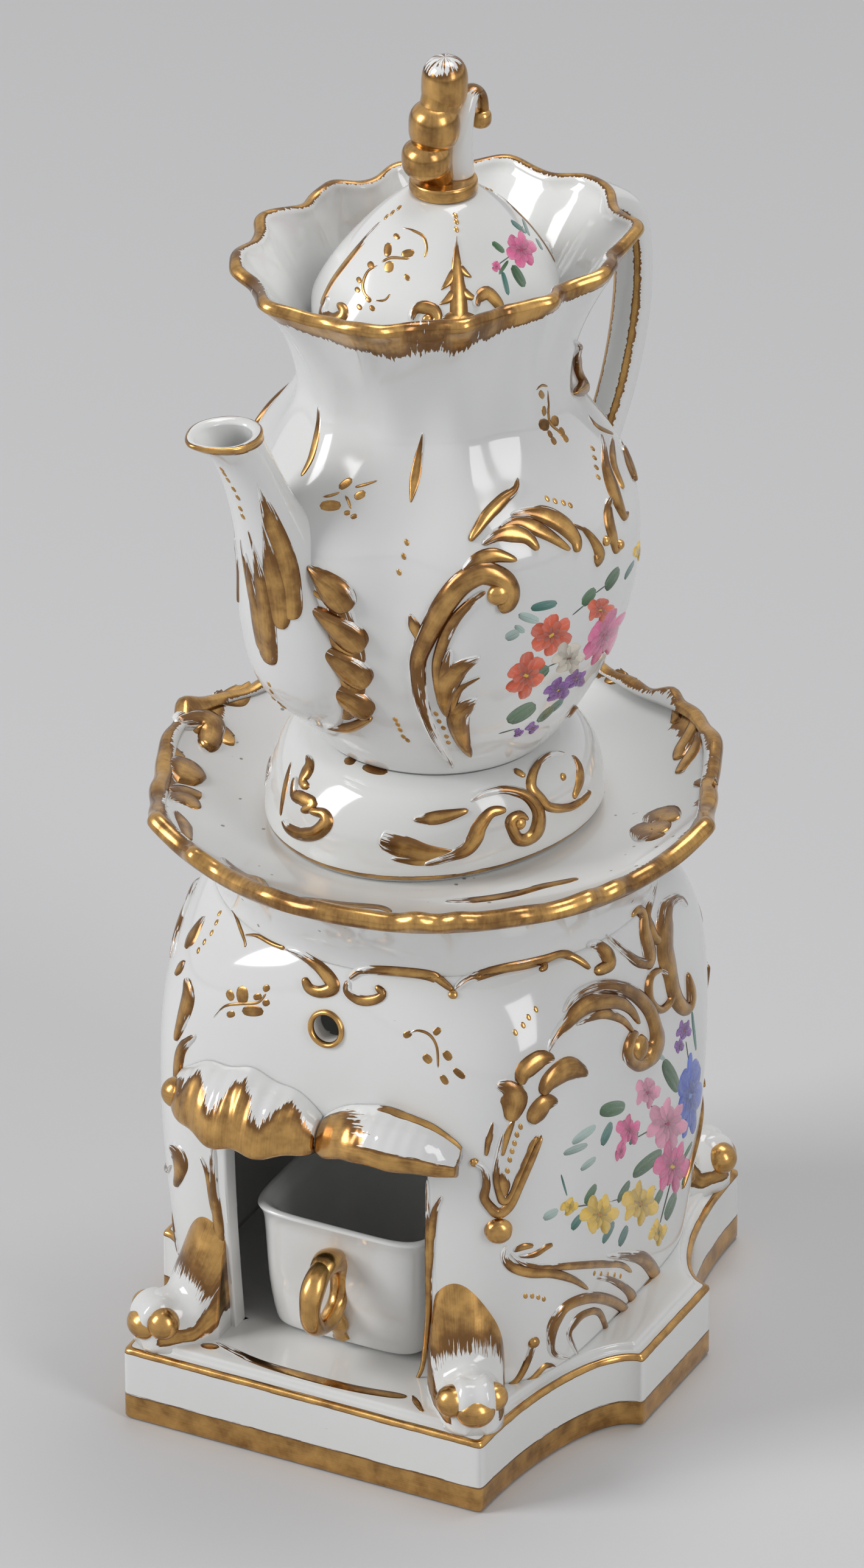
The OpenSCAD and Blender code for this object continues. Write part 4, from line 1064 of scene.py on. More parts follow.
HANDLE_ROWS = ((34.0, 114.4, 3.9, 2.3), (38.6, 117.6, 4.0, 2.3), (42.5, 119.0, 4.3, 2.3),
    (48.0, 114.6, 4.5, 2.3), (50.0, 104.8, 4.5, 2.3), (49.5, 92.0, 4.3, 2.3), (46.5, 78.1, 4.0, 2.3),
    (41.5, 65.3, 3.8, 2.3), (37.0, 57.2, 3.6, 2.3))


class TEAWARMER_OT_spout_and_handle(bpy.types.Operator):
    """Makes the spout with its gilt beaked mouth, and the strap handle from the collar to the belly"""

    bl_idname = "tea_warmer.spout_and_handle"
    bl_label = "Spout and handle"

    def execute(self, context):
        a = circle(96)[:, None]
        up = np.linspace(0, 1, 110)[None, :]
        outer = outside_pot(spout_wall(a, up), 1.5)
        turn = np.linspace(0, 180, 13)[None, 1:-1]
        wall = 2.0
        lip = spout_wall(a, np.ones_like(turn), 0.5 * sind(turn) - wall / 2 * (1 - cosd(turn)))
        lip[..., 2] += 0.9 * sind(turn)
        bore = spout_wall(a, np.linspace(1, 0.45, 50)[None, :], -wall)
        bore = outside_pot(bore, 1.0)
        lip_gold = np.broadcast_to(ramp(110, 60, turn), (len(a), turn.size))
        bare = np.zeros((len(a), bore.shape[1]))
        gold = np.concatenate([ramp(0.93, 0.985, up) + 0 * a, lip_gold, bare], 1)
        sheet = Sheet()
        sheet.add(np.concatenate([outer, lip, bore], 1), ring=True, gilt=gold)
        sheet.build(context, "spout", "teapot", ["pot_spout"])
        strap = sweep(HANDLE_ROWS, 40, 3.0, 110)
        strap = outside_pot(in_pot(strap, POT_Z), 1.5)
        way = np.linspace(0, 1, strap.shape[1])[None, :]
        edge = np.abs((circle(40)[:, None] - 90 + 180) % 360 - 180)
        gold = ramp(16, 8, np.abs(edge - 42)) * ramp(0.12, 0.2, way) * ramp(0.95, 0.85, way)
        sheet = Sheet()
        sheet.add(strap, ring=True, gilt=np.maximum(gold, ramp(0.14, 0.09, way) * 0.8))
        sheet.build(context, "handle", "teapot", ["pot_handle"])
        return {"FINISHED"}


class TEAWARMER_OT_lid(bpy.types.Operator):
    """Makes the ridged lid with its flange, the gilt collar and the scrolled finial"""

    bl_idname = "tea_warmer.lid"
    bl_label = "Lid"

    def execute(self, context):
        a = ROUND[:, None]
        neck = FLANGE_R - LID_WALL * 0.8
        rows = [(neck, 0.4, 0), (neck, -FLANGE_H + 0.5, 0), (neck + 0.5, -FLANGE_H, 0),
            (FLANGE_R - 0.5, -FLANGE_H, 0), (FLANGE_R, -FLANGE_H + 0.5, 0), (FLANGE_R, -0.2, 0),
            (FLANGE_R + 0.3, 0.0, 0), (LID_R - 0.8, 0.0, 0), (LID_R - 0.2, 0.2, 0.2),
            (LID_R + 0.1, 0.9, 0.4), (LID_R + 0.55, 3.0, 0.6), (LID_R + 0.95, 6.0, 0.85)]
        rows = np.array(rows)
        reach = rows[:, 0] * (1 - LID_OVAL * cosd(2 * a) + LID_RIDGE * rows[:, 2] * cosd(6 * (a - 90)))
        flange = turned(reach * cosd(a), reach * sind(a), rows[:, 1] + 0 * a, POT_TURN, LID_Z)
        hollow_side = lid_dome(a, np.linspace(0.8, 0.0, 30)[None, :], LID_WALL)
        dome = lid_dome(a, np.linspace(0, 1, 70)[None, :])
        caps = hollow_side[:, :1], dome[:, -1:]
        ends = [np.broadcast_to(ring.mean(0), (len(a), 1, 3)) for ring in caps]
        sheet = Sheet()
        sheet.add(np.concatenate([ends[0], hollow_side, flange, dome, ends[1]], 1), ring=True)
        sheet.build(context, "lid", "lid", ["lid_dome"])
        turn = np.linspace(-90, 90, 17)
        half = COLLAR_H / 2
        ease = 0.7
        band = [(COLLAR_R - ease + ease * cosd(e) ** 0.5, half + half * sind(e)) for e in turn]
        ring = np.array([(0.0, 0.0)] + band + [(0.0, COLLAR_H)])
        collar = turned(ring[:, 0] * cosd(a), LID_LEAN + ring[:, 0] * sind(a), ring[:, 1] + 0 * a, POT_TURN,
            LID_Z + COLLAR_Z)
        sheet = Sheet()
        sheet.add(collar, ring=True, gilt=1.0)
        sheet.build(context, "collar_band", "lid", ["lid_collar"])
        sheet = Sheet()
        for points, gold in finial_lumps():
            sheet.add(in_pot(points + (0.0, LID_LEAN, 0.0), LID_Z + FINIAL_Z), ring=True, gilt=gold,
                across=True)
        sheet.build(context, "finial", "lid", ["lid_finial"])
        return {"FINISHED"}


# Rows of the finial's core and of its leaf: y, height, half width, half thickness
FINIAL_CORE = ((-1.4, 0.0, 3.2, 3.0), (-2.6, 4.0, 3.7, 3.7), (-2.4, 8.0, 3.7, 3.7), (-1.7, 12.0, 3.9, 4.0),
    (-0.5, 16.0, 4.0, 4.0), (0.2, 20.0, 3.9, 3.8))
FINIAL_LEAF = ((3.0, 0.0, 3.8, 3.5), (2.8, 4.5, 3.7, 3.3), (3.6, 9.5, 3.3, 2.7), (5.2, 14.0, 2.7, 2.0),
    (7.4, 15.8, 2.0, 1.2), (9.2, 14.3, 1.5, 1.0), (9.8, 11.4, 1.3, 1.0), (9.5, 9.2, 1.4, 1.2))
# Lumps of the finial: y, height, radius, half height
FINIAL_LUMPS = ((0.3, 19.2, 4.5, 5.5), (-2.3, 11.4, 4.9, 4.8), (-4.3, 5.0, 4.7, 3.8), (9.3, 9.4, 2.1, 1.9))


def finial_lumps():
    """The finial's forms with their gilding: a core, a white leaf that curls away behind it and swelling
    lumps whose top is worn white."""
    core = sweep(FINIAL_CORE, 32, 2.0, 60)
    leaf = sweep(FINIAL_LEAF, 32, 2.0, 60)
    lumps = [(core, 1.0), (leaf, 0.85 * ramp(0.28, 0.66, np.linspace(0, 1, leaf.shape[1]))[None, :])]
    for y, z, r, tall in FINIAL_LUMPS:
        lump = ball((0, y, z), (r, r, tall), 48, 0.72)
        rough = 0.14 * waves(lump[..., 0], lump[..., 1], lump[..., 2])[..., None]
        worn = 1 - 0.6 * ramp(FINIAL_H - 2.2, FINIAL_H - 0.4, lump[..., 2] - 0.25 * lump[..., 1])
        lumps.append((lump + unit(lump - (0, y, z)) * rough, worn))
    return lumps


# Rows of the cup: share of the flare, height
CUP_ROWS = ((0.0, 0.0), (0.26, 0.8), (0.45, CUP_H * 0.08), (0.66, CUP_H * 0.37), (0.78, CUP_H * 0.78),
    (0.84, CUP_H * 0.9), (1.0, CUP_H - 0.6))


def cup_ring(flare, z, inset):
    """A rounded square of the cup: a superellipse whose half size follows the flare."""
    a = circle(192)
    taper = (CUP_W - CUP_BASE) / 2 * (1 - flare)
    k = (np.abs(cosd(a)) ** 6 + np.abs(sind(a)) ** 6) ** (-1 / 6)
    return np.stack([(CUP_W / 2 - taper - inset) * k * cosd(a),
        CUP_Y + (CUP_D / 2 - taper - inset) * k * sind(a), CUP_Z + z + 0 * a], -1)


class TEAWARMER_OT_lamp_cup(bpy.types.Operator):
    """Makes the lamp cup with its turned-out lip, and the gilt ring it is pulled out by"""

    bl_idname = "tea_warmer.lamp_cup"
    bl_label = "Lamp cup"

    def execute(self, context):
        outer = [cup_ring(f, z, 0.0) for f, z in curve(CUP_ROWS, np.linspace(0, 1, 60))]
        lip = [cup_ring(1.0, CUP_H - 0.6 + 0.6 * sind(e), 0.8 * (1 - cosd(e))) for e in (30, 60, 90)]
        inner_rows = ((1.0, CUP_H - 0.05, 1.2), (0.93, CUP_H - 1.0, 1.9), (0.84, CUP_H * 0.9, CUP_WALL),
            (0.78, CUP_H * 0.75, CUP_WALL), (0.64, CUP_H * 0.4, CUP_WALL), (0.45, CUP_WALL + 1.2, CUP_WALL),
            (0.34, CUP_WALL + 0.1, CUP_WALL), (0.25, CUP_WALL, CUP_WALL + 1))
        inner = [cup_ring(*row) for row in curve(inner_rows, np.linspace(0, 1, 50))]
        middle = np.array((0.0, CUP_Y, 0.0))
        floor = [(inner[-1] - middle) * (k, k, 1) + middle for k in (0.6, 0.0)]
        base = [(outer[0] - middle) * (k, k, 1) + middle for k in (0.0, 0.6)]
        sheet = Sheet()
        sheet.add(np.stack(base + outer + lip + inner + floor, 1), ring=True)
        sheet.build(context, "lamp_cup", "godet", ["godet_cup"])
        front = CUP_D / 2 - (CUP_W - CUP_BASE) / 2 * 0.32
        a, b = np.meshgrid(circle(96), circle(32), indexing="ij")
        rod = RING_ROD * (1 + 0.12 * cosd(a - 90) + 0.05 * cosd(5 * a))
        reach = RING_R + rod * 0.92 * cosd(b)
        ring = np.stack([rod * sind(b), CUP_Y - front - RING_R + 1.2 + reach * cosd(a),
            CUP_Z + RING_Z + reach * sind(a)], -1)
        ring[..., 1] = np.minimum(ring[..., 1], CUP_Y - front + 2.0)
        sheet = Sheet()
        sheet.add(ring, ring=True, hoop=True, gilt=1.0)
        low = RING_Z - RING_R
        tail = sweep([(-front - 2.6, low + 0.6, 1.2, 1.0), (-front - 1.6, low, 1.9, 1.4),
            (-front - 0.2, low - 3, 2.3, 1.5), (-front + 0.7, low - 5.2, 1.5, 1.2),
            (-front + 1.3, low - 6.6, 1.9, 1.1)], 24, 2.0, 40)
        sheet.add(tail + (0.0, CUP_Y, CUP_Z), ring=True, gilt=1.0)
        thumb = sweep([(-front + 0.4, RING_Z + RING_R - 1.0, 1.6, 1.2),
            (-front - 2.5, RING_Z + RING_R + 0.6, 2.5, 1.7),
            (-front - 5.5, RING_Z + RING_R + 0.8, 2.7, 1.9),
            (-front - 9.0, RING_Z + RING_R - 1.2, 2.0, 1.5)], 24, 2.0, 40)
        sheet.add(thumb + (0.0, CUP_Y, CUP_Z), ring=True, gilt=1.0)
        sheet.build(context, "cup_ring", "godet", ["godet_handle"])
        return {"FINISHED"}


def turned_ring(rows):
    """Rows of radius and height turned about the float's upright axis."""
    a = circle(64)[:, None]
    rows = np.asarray(rows, float)
    return np.stack([rows[:, 0] * cosd(a), CUP_Y + rows[:, 0] * sind(a), FLOAT_Z + rows[:, 1] + 0 * a], -1)


class TEAWARMER_OT_wick_float(bpy.types.Operator):
    """Makes the float in the cup: a cork ring, a tin plate and a wick through both"""

    bl_idname = "tea_warmer.wick_float"
    bl_label = "Wick float"

    def execute(self, context):
        cork = [(1.25, 0.0), (7.6, 0.0), (8.0, 0.4), (8.0, 4.1), (7.6, 4.5), (1.25, 4.5)]
        plate = [(1.25, 4.5), (6.2, 4.5), (6.4, 4.7), (6.3, 5.0), (5.9, 5.05), (1.9, 5.0), (1.4, 5.25),
            (1.25, 5.0)]
        wick = [(0.0, 0.0), (1.0, 0.0), (1.1, 0.2), (1.1, 5.5), (1.06, 7.6), (0.85, 8.3), (0.4, 8.5),
            (0.0, 8.45)]
        for name, slot, look, rows, hoop in (("cork", "cork", "cork_cells", cork, True),
                ("plate", "tin", "tin_plate", plate, True), ("wick", "wick", "plaited_wick", wick, False)):
            fine = curve(rows, np.linspace(0, 1, 40)) if name == "wick" else np.array(rows)
            sheet = Sheet()
            sheet.add(turned_ring(fine), ring=True, hoop=hoop)
            sheet.build(context, "wick_float_" + name, "float", ["float_" + name], look)
        return {"FINISHED"}


# Floor, in metres: its radius, and how far it lies below the plinth
FLOOR_R = 8.0
FLOOR_DROP = 0.0002


class TEAWARMER_OT_stage(bpy.types.Operator):
    """Sets the pale floor, the soft lights, the world and the camera at the photograph's angle"""

    bl_idname = "tea_warmer.stage"
    bl_label = "Stage"

    def execute(self, context):
        settings = context.scene.tea_warmer
        view = settings.azimuth
        mesh = bpy.data.meshes.new("floor")
        turn = circle(96)
        edge = np.stack([FLOOR_R * cosd(turn), FLOOR_R * sind(turn), np.full(len(turn), -FLOOR_DROP)], -1)
        mesh.from_pydata(edge.tolist(), [], [list(range(len(turn)))])
        mesh.materials.append(finish(context, "pale_floor"))
        floor = bpy.data.objects.new("floor", mesh)
        context.collection.objects.link(floor)
        for name, place, aim, size, power in LAMPS:
            lamp = bpy.data.lights.new(name, "AREA")
            lamp.shape = "RECTANGLE"
            lamp.size, lamp.size_y = size
            lamp.energy = power
            holder = bpy.data.objects.new(name, lamp)
            context.collection.objects.link(holder)
            place, aim = np.array(place), np.array(aim)
            holder.matrix_world = looking(place, unit(place - aim))
        world = bpy.data.worlds.new("soft_light")
        context.scene.world = world
        world.use_nodes = True
        light_world(world.node_tree, settings)
        camera = bpy.data.cameras.new("camera")
        camera.sensor_fit = "VERTICAL"
        camera.sensor_height = SENSOR
        camera.lens = LENS
        camera.shift_x = SHIFT_X
        camera.shift_y = SHIFT_Y
        camera.clip_start = CLIP_NEAR
        camera.clip_end = CLIP_FAR
        holder = bpy.data.objects.new("camera", camera)
        context.collection.objects.link(holder)
        rise = settings.elevation
        back = np.array((np.sin(view) * np.cos(rise), -np.cos(view) * np.cos(rise), np.sin(rise)))
        holder.matrix_world = looking(np.array((0.0, 0.0, AIM_Z * MM)) + back * settings.distance, back)
        context.scene.camera = holder
        context.scene.view_settings.view_transform = "Standard"
        return {"FINISHED"}


def light_world(tree, settings):
    """Soft light from all round, and a pale backdrop for the camera, reflections and glass past the
    floor."""
    nodes, links = tree.nodes, tree.links
    light = nodes["Background"]
    light.inputs["Color"].default_value = rgba(settings.world)
    light.inputs["Strength"].default_value = settings.world_strength
    backdrop = nodes.new("ShaderNodeBackground")
    backdrop.inputs["Color"].default_value = rgba(settings.floor)
    path = nodes.new("ShaderNodeLightPath")
    seen = path.outputs["Is Camera Ray"]
    for ray in ("Is Glossy Ray", "Is Transmission Ray"):
        either = nodes.new("ShaderNodeMath")
        either.operation = "MAXIMUM"
        links.new(seen, either.inputs[0])
        links.new(path.outputs[ray], either.inputs[1])
        seen = either.outputs[0]
    mixed = nodes.new("ShaderNodeMixShader")
    links.new(seen, mixed.inputs[0])
    links.new(light.outputs[0], mixed.inputs[1])
    links.new(backdrop.outputs[0], mixed.inputs[2])
    links.new(mixed.outputs[0], nodes["World Output"].inputs["Surface"])


def looking(place, back):
    """The matrix of a lamp or camera at place whose back direction is given, kept level."""
    right = unit(np.cross((0.0, 0.0, 1.0), back))
    up = np.cross(back, right)
    matrix = np.eye(4)
    matrix[:3, 0], matrix[:3, 1], matrix[:3, 2], matrix[:3, 3] = right, up, back, place
    return mathutils.Matrix(matrix.tolist())


# Soft boxes: name, place, aim, size, power
LAMPS = (
    ("soft_box_left", (-1.3, -1.1, 1.1), (0.0, 0.0, 0.13), (0.7, 1.2), 22.0),
    ("soft_box_right", (1.5, -0.5, 0.9), (0.0, 0.0, 0.13), (0.5, 1.1), 8.0),
    ("soft_box_top", (0.1, 0.5, 1.8), (0.0, 0.0, 0.13), (1.0, 0.8), 11.0),
)


# Gilding read off the photograph. A stroke is its half width at the start, middle and end in pixels, its
# rise in millimetres, and then the pixels, x and y in turn, that its middle runs through
POT_STROKES = {
    "scroll": (6, 13, 12, 1.0, 744, 1260, 715, 1210, 696, 1165, 688, 1128, 686, 1086, 698, 1053, 715, 1020,
        732, 991, 756, 962, 785, 944, 806, 944, 827, 954, 837, 971, 833, 991, 818, 1000),
    "scroll_inside": (4, 7, 5, 0.5, 798, 971, 777, 987, 752, 1012, 736, 1037, 723, 1070, 717, 1103,
        723, 1157),
    "scroll_spike": (2, 7, 2, 0.4, 674, 1008, 682, 1031, 690, 1056),
    "scroll_leaf_1": (3, 9, 2, 0.4, 740, 1065, 732, 1099, 723, 1128, 725, 1153),
    "scroll_leaf_2": (3, 14, 3, 0.6, 790, 1078, 760, 1095, 736, 1120, 730, 1153, 734, 1177),
    "scroll_leaf_3": (3, 13, 3, 0.6, 785, 1146, 769, 1157, 752, 1181, 760, 1219, 773, 1243),
    "scroll_leaf_4": (2, 5, 2, 0.3, 790, 1111, 756, 1132, 744, 1161, 746, 1181),
    "crest_1": (3, 8, 3, 0.6, 851, 785, 847, 805, 827, 822, 802, 847, 781, 876, 773, 890),
    "crest_2": (4, 11, 4, 0.6, 839, 847, 868, 843, 897, 847, 926, 863, 947, 888, 947, 909),
    "crest_3": (4, 9, 3, 0.4, 823, 867, 851, 857, 880, 867, 909, 884, 938, 905),
    "crest_4": (2, 5, 7, 0.5, 938, 861, 959, 871, 975, 888, 986, 913, 977, 925),
    "crest_5": (4, 11, 4, 0.6, 792, 896, 818, 880, 843, 876, 868, 884, 885, 905),
    "crest_6": (3, 10, 3, 0.5, 760, 938, 785, 921, 814, 913, 851, 921),
    "hook": (4, 6, 4, 0.4, 1004, 818, 1000, 834, 1002, 859, 1009, 888, 1013, 905, 1023, 892),
    "shoulder_leaf_1": (3, 7, 3, 0.4, 988, 714, 996, 760, 1009, 805, 1025, 847, 1033, 843),
    "shoulder_leaf_2": (2, 5, 2, 0.3, 1006, 718, 1009, 760, 1025, 805),
    "shoulder_leaf_3": (2, 5, 2, 0.3, 1019, 721, 1033, 764, 1042, 789),
    "shoulder_edge": (2, 5, 3, 0.6, 1042, 731, 1062, 776, 1062, 797),
    "shoulder_stroke": (2, 4, 2, 0.15, 967, 683, 984, 702, 1009, 714),
    "crease": (2, 4, 2, 0.12, 525, 666, 522, 712, 512, 752, 496, 782),
    "dart": (1, 6, 1, 0.2, 696, 710, 684, 780, 676, 826),
    "waist_scroll_1": (2, 5, 3, 0.5, 934, 1200, 938, 1188, 957, 1184, 969, 1192, 974, 1204),
    "sprig_stem_1": (1.5, 2, 1, 0.08, 584, 800, 600, 796, 622, 789),
    "sprig_stem_2": (1.5, 2, 1, 0.08, 530, 816, 546, 813, 560, 808),
    "sprig_stem_3": (1.5, 2, 1, 0.08, 568, 812, 574, 824, 578, 836),
    "upper_stem": (1.5, 2, 1.5, 0.08, 901, 640, 903, 665, 905, 694, 918, 708, 926, 718),
    "upper_branch": (1.5, 2, 1, 0.08, 881, 642, 892, 634, 902, 636),
    "shell_ground": (8, 22, 12, 0.45, 540, 945, 560, 1010, 568, 1075, 574, 1130, 566, 1180),
    "shell_1": (2, 15, 23, 1.4, 502, 922, 528, 948, 552, 974, 572, 1002),
    "shell_2": (2, 14, 22, 1.4, 500, 985, 538, 1014, 570, 1040, 594, 1066),
    "shell_3": (2, 14, 21, 1.4, 508, 1046, 546, 1074, 578, 1100, 602, 1124),
    "shell_4": (2, 12, 18, 1.3, 518, 1104, 554, 1132, 584, 1154, 606, 1174),
    "shell_5": (2, 6, 4, 0.9, 532, 1186, 572, 1194, 611, 1176),
    "shell_streak_1": (0.6, 3, 2, 0.3, 486, 950, 510, 968, 540, 990),
    "shell_streak_2": (0.6, 3, 2, 0.3, 494, 1018, 520, 1040, 556, 1062),
    "shell_streak_3": (0.6, 3, 2, 0.3, 502, 1078, 530, 1104, 566, 1124),
    "neck_ear": (3, 8, 3, 1.2, 945, 560, 953, 590, 951, 620, 944, 648),
}
POT_DOTS = (4, 669, 891, 664, 914, 656, 940, 649, 1182, 653, 1190, 657, 1199, 662, 1210, 669, 1216,
    716, 1173, 721, 1185, 728, 1196, 733, 1210, 736, 1220, 975, 738, 978, 753, 981, 769, 984, 785, 900, 820,
    913, 824, 927, 827, 938, 831)
POT_BALLS = (("scroll_knob", 820, 977, 20, 1.6), ("hook_ball_1", 996, 890, 9, 0.9),
    ("hook_ball_2", 1019, 896, 9, 0.9))
# A leaf is the pixels of its two ends and its half width in pixels
POT_LEAVES = (526, 830, 562, 830, 8, 558, 802, 580, 786, 6, 583, 818, 602, 808, 6, 566, 843, 577, 841, 4,
    577, 850, 588, 846, 4, 895, 688, 895, 709, 8, 913, 683, 913, 702, 6, 893, 669, 898, 683, 5,
    921, 703, 928, 717, 4, 901, 709, 909, 719, 4, 907, 719, 915, 731, 4, 926, 715, 935, 727, 4,
    887, 644, 896, 654, 5)

SPOUT_STROKES = {
    "panel_1": (1, 13, 13, 0.25, 423, 792, 447, 854, 472, 932, 480, 1018),
    "panel_2": (1, 14, 16, 0.3, 430, 855, 446, 922, 457, 980, 462, 1033),
    "panel_3": (1, 11, 13, 0.35, 416, 890, 428, 951, 437, 1018, 440, 1088),
    "panel_4": (1, 8, 9, 0.3, 404, 905, 414, 960, 423, 1018, 432, 1070),
    "panel_hair_1": (0.6, 2.5, 1.5, 0.15, 396, 884, 403, 932, 412, 989),
    "panel_hair_2": (0.6, 2, 1.5, 0.15, 408, 868, 418, 905, 428, 945),
    "panel_edge": (1, 5, 2, 0.3, 380, 872, 377, 932, 384, 1000),
}
SPOUT_DOTS = (4, 366, 770, 370, 777, 376, 787, 385, 802, 392, 816, 396, 834, 400, 847, 442, 1123, 446, 1135,
    449, 1146, 453, 1157, 458, 1169, 465, 1181)

FOOT_STROKES = {
    "left_leaf_1": (3, 7, 4, 0.5, 504, 1240, 508, 1252, 504, 1266, 497, 1284, 508, 1293),
    "left_leaf_2": (3, 8, 4, 0.5, 486, 1274, 483, 1303, 494, 1310, 512, 1321, 494, 1332),
    "left_lobe": (5, 9, 5, 0.8, 468, 1346, 476, 1361, 494, 1370, 519, 1366, 535, 1350, 530, 1336, 508, 1332),
    "left_streak": (1.5, 3, 1.5, 0.1, 479, 1250, 468, 1290, 460, 1340),
    "brush": (12, 13, 3, 0.25, 622, 1376, 660, 1390, 700, 1402, 745, 1400),
    "brush_streak": (2, 5, 2, 0.2, 640, 1410, 690, 1416, 730, 1410),
    "leaf": (3, 8, 3, 0.4, 677, 1347, 717, 1343, 769, 1331),
    "sweep": (4, 9, 5, 0.5, 694, 1420, 733, 1409, 764, 1397, 779, 1378, 787, 1358, 806, 1335, 831, 1331),
    "spiral": (4, 8, 5, 0.7, 771, 1318, 795, 1304, 826, 1298, 857, 1304, 876, 1320, 884, 1339, 880, 1366,
        864, 1380, 849, 1378, 839, 1358, 839, 1347, 853, 1339, 866, 1347),
    "circle": (3, 6, 4, 0.6, 926, 1240, 907, 1240, 887, 1252, 876, 1270, 872, 1293, 887, 1312, 903, 1327,
        934, 1327, 958, 1312, 966, 1300),
    "horn": (2, 4, 2, 0.3, 843, 1264, 852, 1270, 862, 1277),
    "arc": (2, 5, 3, 0.4, 938, 1242, 950, 1260, 952, 1281, 946, 1300, 940, 1312),
}
FOOT_BALLS = (("spiral_ball", 853, 1353, 11, 1.0), ("circle_dot", 924, 1277, 7, 0.5))
FOOT_LEAVES = (564, 1250, 586, 1248, 6, 602, 1252, 648, 1252, 7)

LID_STROKES = {
    "left_ridge": (2, 3, 2, 0.15, 629, 364, 599, 397, 570, 432, 548, 462, 530, 500),
    "right_ridge": (2, 3, 2, 0.15, 821, 316, 850, 336, 883, 359, 898, 376, 932, 422),
    "front_spine": (1, 7, 11, 0.35, 753, 386, 753, 428, 755, 466, 757, 530),
    "front_barb_1": (4, 5, 0.6, 0.25, 753, 436, 742, 460, 727, 477),
    "front_barb_2": (4, 4, 0.6, 0.25, 755, 434, 766, 448, 778, 456),
    "front_barb_3": (5, 5, 0.6, 0.25, 754, 472, 741, 490, 724, 501),
    "front_barb_4": (5, 5, 0.6, 0.25, 757, 472, 772, 486, 790, 492),
    "front_root": (2, 10, 2, 0.35, 718, 530, 757, 524, 800, 528),
    "left_volute": (4, 8, 4, 0.5, 543, 485, 533, 515, 545, 525, 562, 520, 566, 508, 558, 498),
    "centre_volute": (4, 8, 4, 0.5, 680, 529, 683, 512, 698, 505, 715, 510, 721, 525, 710, 534),
    "right_volute": (4, 8, 4, 0.5, 785, 506, 787, 491, 804, 482, 821, 499, 826, 516),
    "sprig_curl": (1.5, 2, 1.5, 0.08, 663, 374, 680, 378, 698, 388, 704, 406, 700, 423),
    "sprig_stem": (1.5, 2, 1.5, 0.08, 629, 431, 646, 423, 676, 425),
    "sprig_low": (1.5, 2, 1.5, 0.08, 625, 435, 608, 444, 599, 465, 602, 482, 612, 491),
    "sprig_tendril": (1, 1.5, 1, 0.08, 616, 493, 634, 493, 644, 482),
}
LID_DOTS = (4, 659, 341, 648, 349, 638, 356, 802, 310, 811, 313, 751, 354, 753, 364, 753, 377)
LID_BALLS = (("volute_ball", 704, 524, 8, 0.6),)
LID_LEAVES = (640, 398, 640, 422, 6, 662, 418, 684, 414, 6, 642, 428, 642, 448, 7, 650, 384, 660, 392, 4,
    668, 450, 675, 461, 4, 608, 430, 616, 440, 5, 589, 455, 596, 464, 4, 586, 472, 594, 479, 4,
    604, 487, 612, 496, 4, 610, 502, 618, 510, 4, 589, 500, 597, 508, 4)

DISH_STROKES = {
    "left_roll_1": (8, 11, 7, 1.0, 288, 1188, 321, 1181, 339, 1188, 346, 1202, 342, 1220, 331, 1226),
    "left_stroke_1": (3, 6, 3, 0.3, 342, 1177, 364, 1199, 375, 1213, 386, 1217),
    "left_patch": (6, 15, 5, 0.3, 354, 1148, 380, 1134, 410, 1118),
    "left_stroke_2": (3, 7, 3, 0.4, 274, 1217, 285, 1238, 303, 1249),
    "left_roll_2": (6, 10, 5, 0.8, 274, 1253, 303, 1267, 331, 1285),
    "left_stroke_3": (3, 5, 3, 0.3, 274, 1296, 303, 1298, 331, 1307),
    "left_stroke_4": (3, 6, 3, 0.3, 278, 1314, 303, 1310, 324, 1328),
    "left_stroke_5": (3, 6, 3, 0.3, 288, 1332, 303, 1354, 310, 1379),
    "front_left_stroke": (3, 6, 3, 0.3, 364, 1408, 382, 1426, 400, 1440, 422, 1444, 443, 1462),
    "front_line": (2, 3, 2, 0.15, 450, 1469, 508, 1476, 562, 1485, 620, 1490, 641, 1498),
    "front_right_line": (2, 3, 2, 0.15, 729, 1482, 775, 1474, 826, 1461, 880, 1449, 949, 1444),
    "right_crescent_1": (3, 8, 3, 0.4, 1065, 1358, 1085, 1343, 1114, 1347),
    "right_crescent_2": (3, 8, 3, 0.4, 1046, 1385, 1069, 1366, 1096, 1366),
    "right_stroke_1": (3, 6, 3, 0.4, 1140, 1290, 1160, 1286, 1176, 1290),
    "right_stroke_2": (3, 6, 4, 0.4, 1139, 1171, 1140, 1192, 1119, 1231, 1114, 1250),
    "right_stroke_3": (3, 5, 3, 0.4, 1148, 1204, 1143, 1227, 1123, 1258, 1114, 1273),
    "right_stroke_4": (3, 5, 3, 0.3, 1108, 1163, 1112, 1173, 1106, 1192),
    "back_patch": (4, 10, 4, 0.3, 1011, 1101, 1013, 1112, 1015, 1124),
    "back_stroke": (3, 5, 3, 0.3, 1046, 1110, 1041, 1122, 1036, 1136),
}

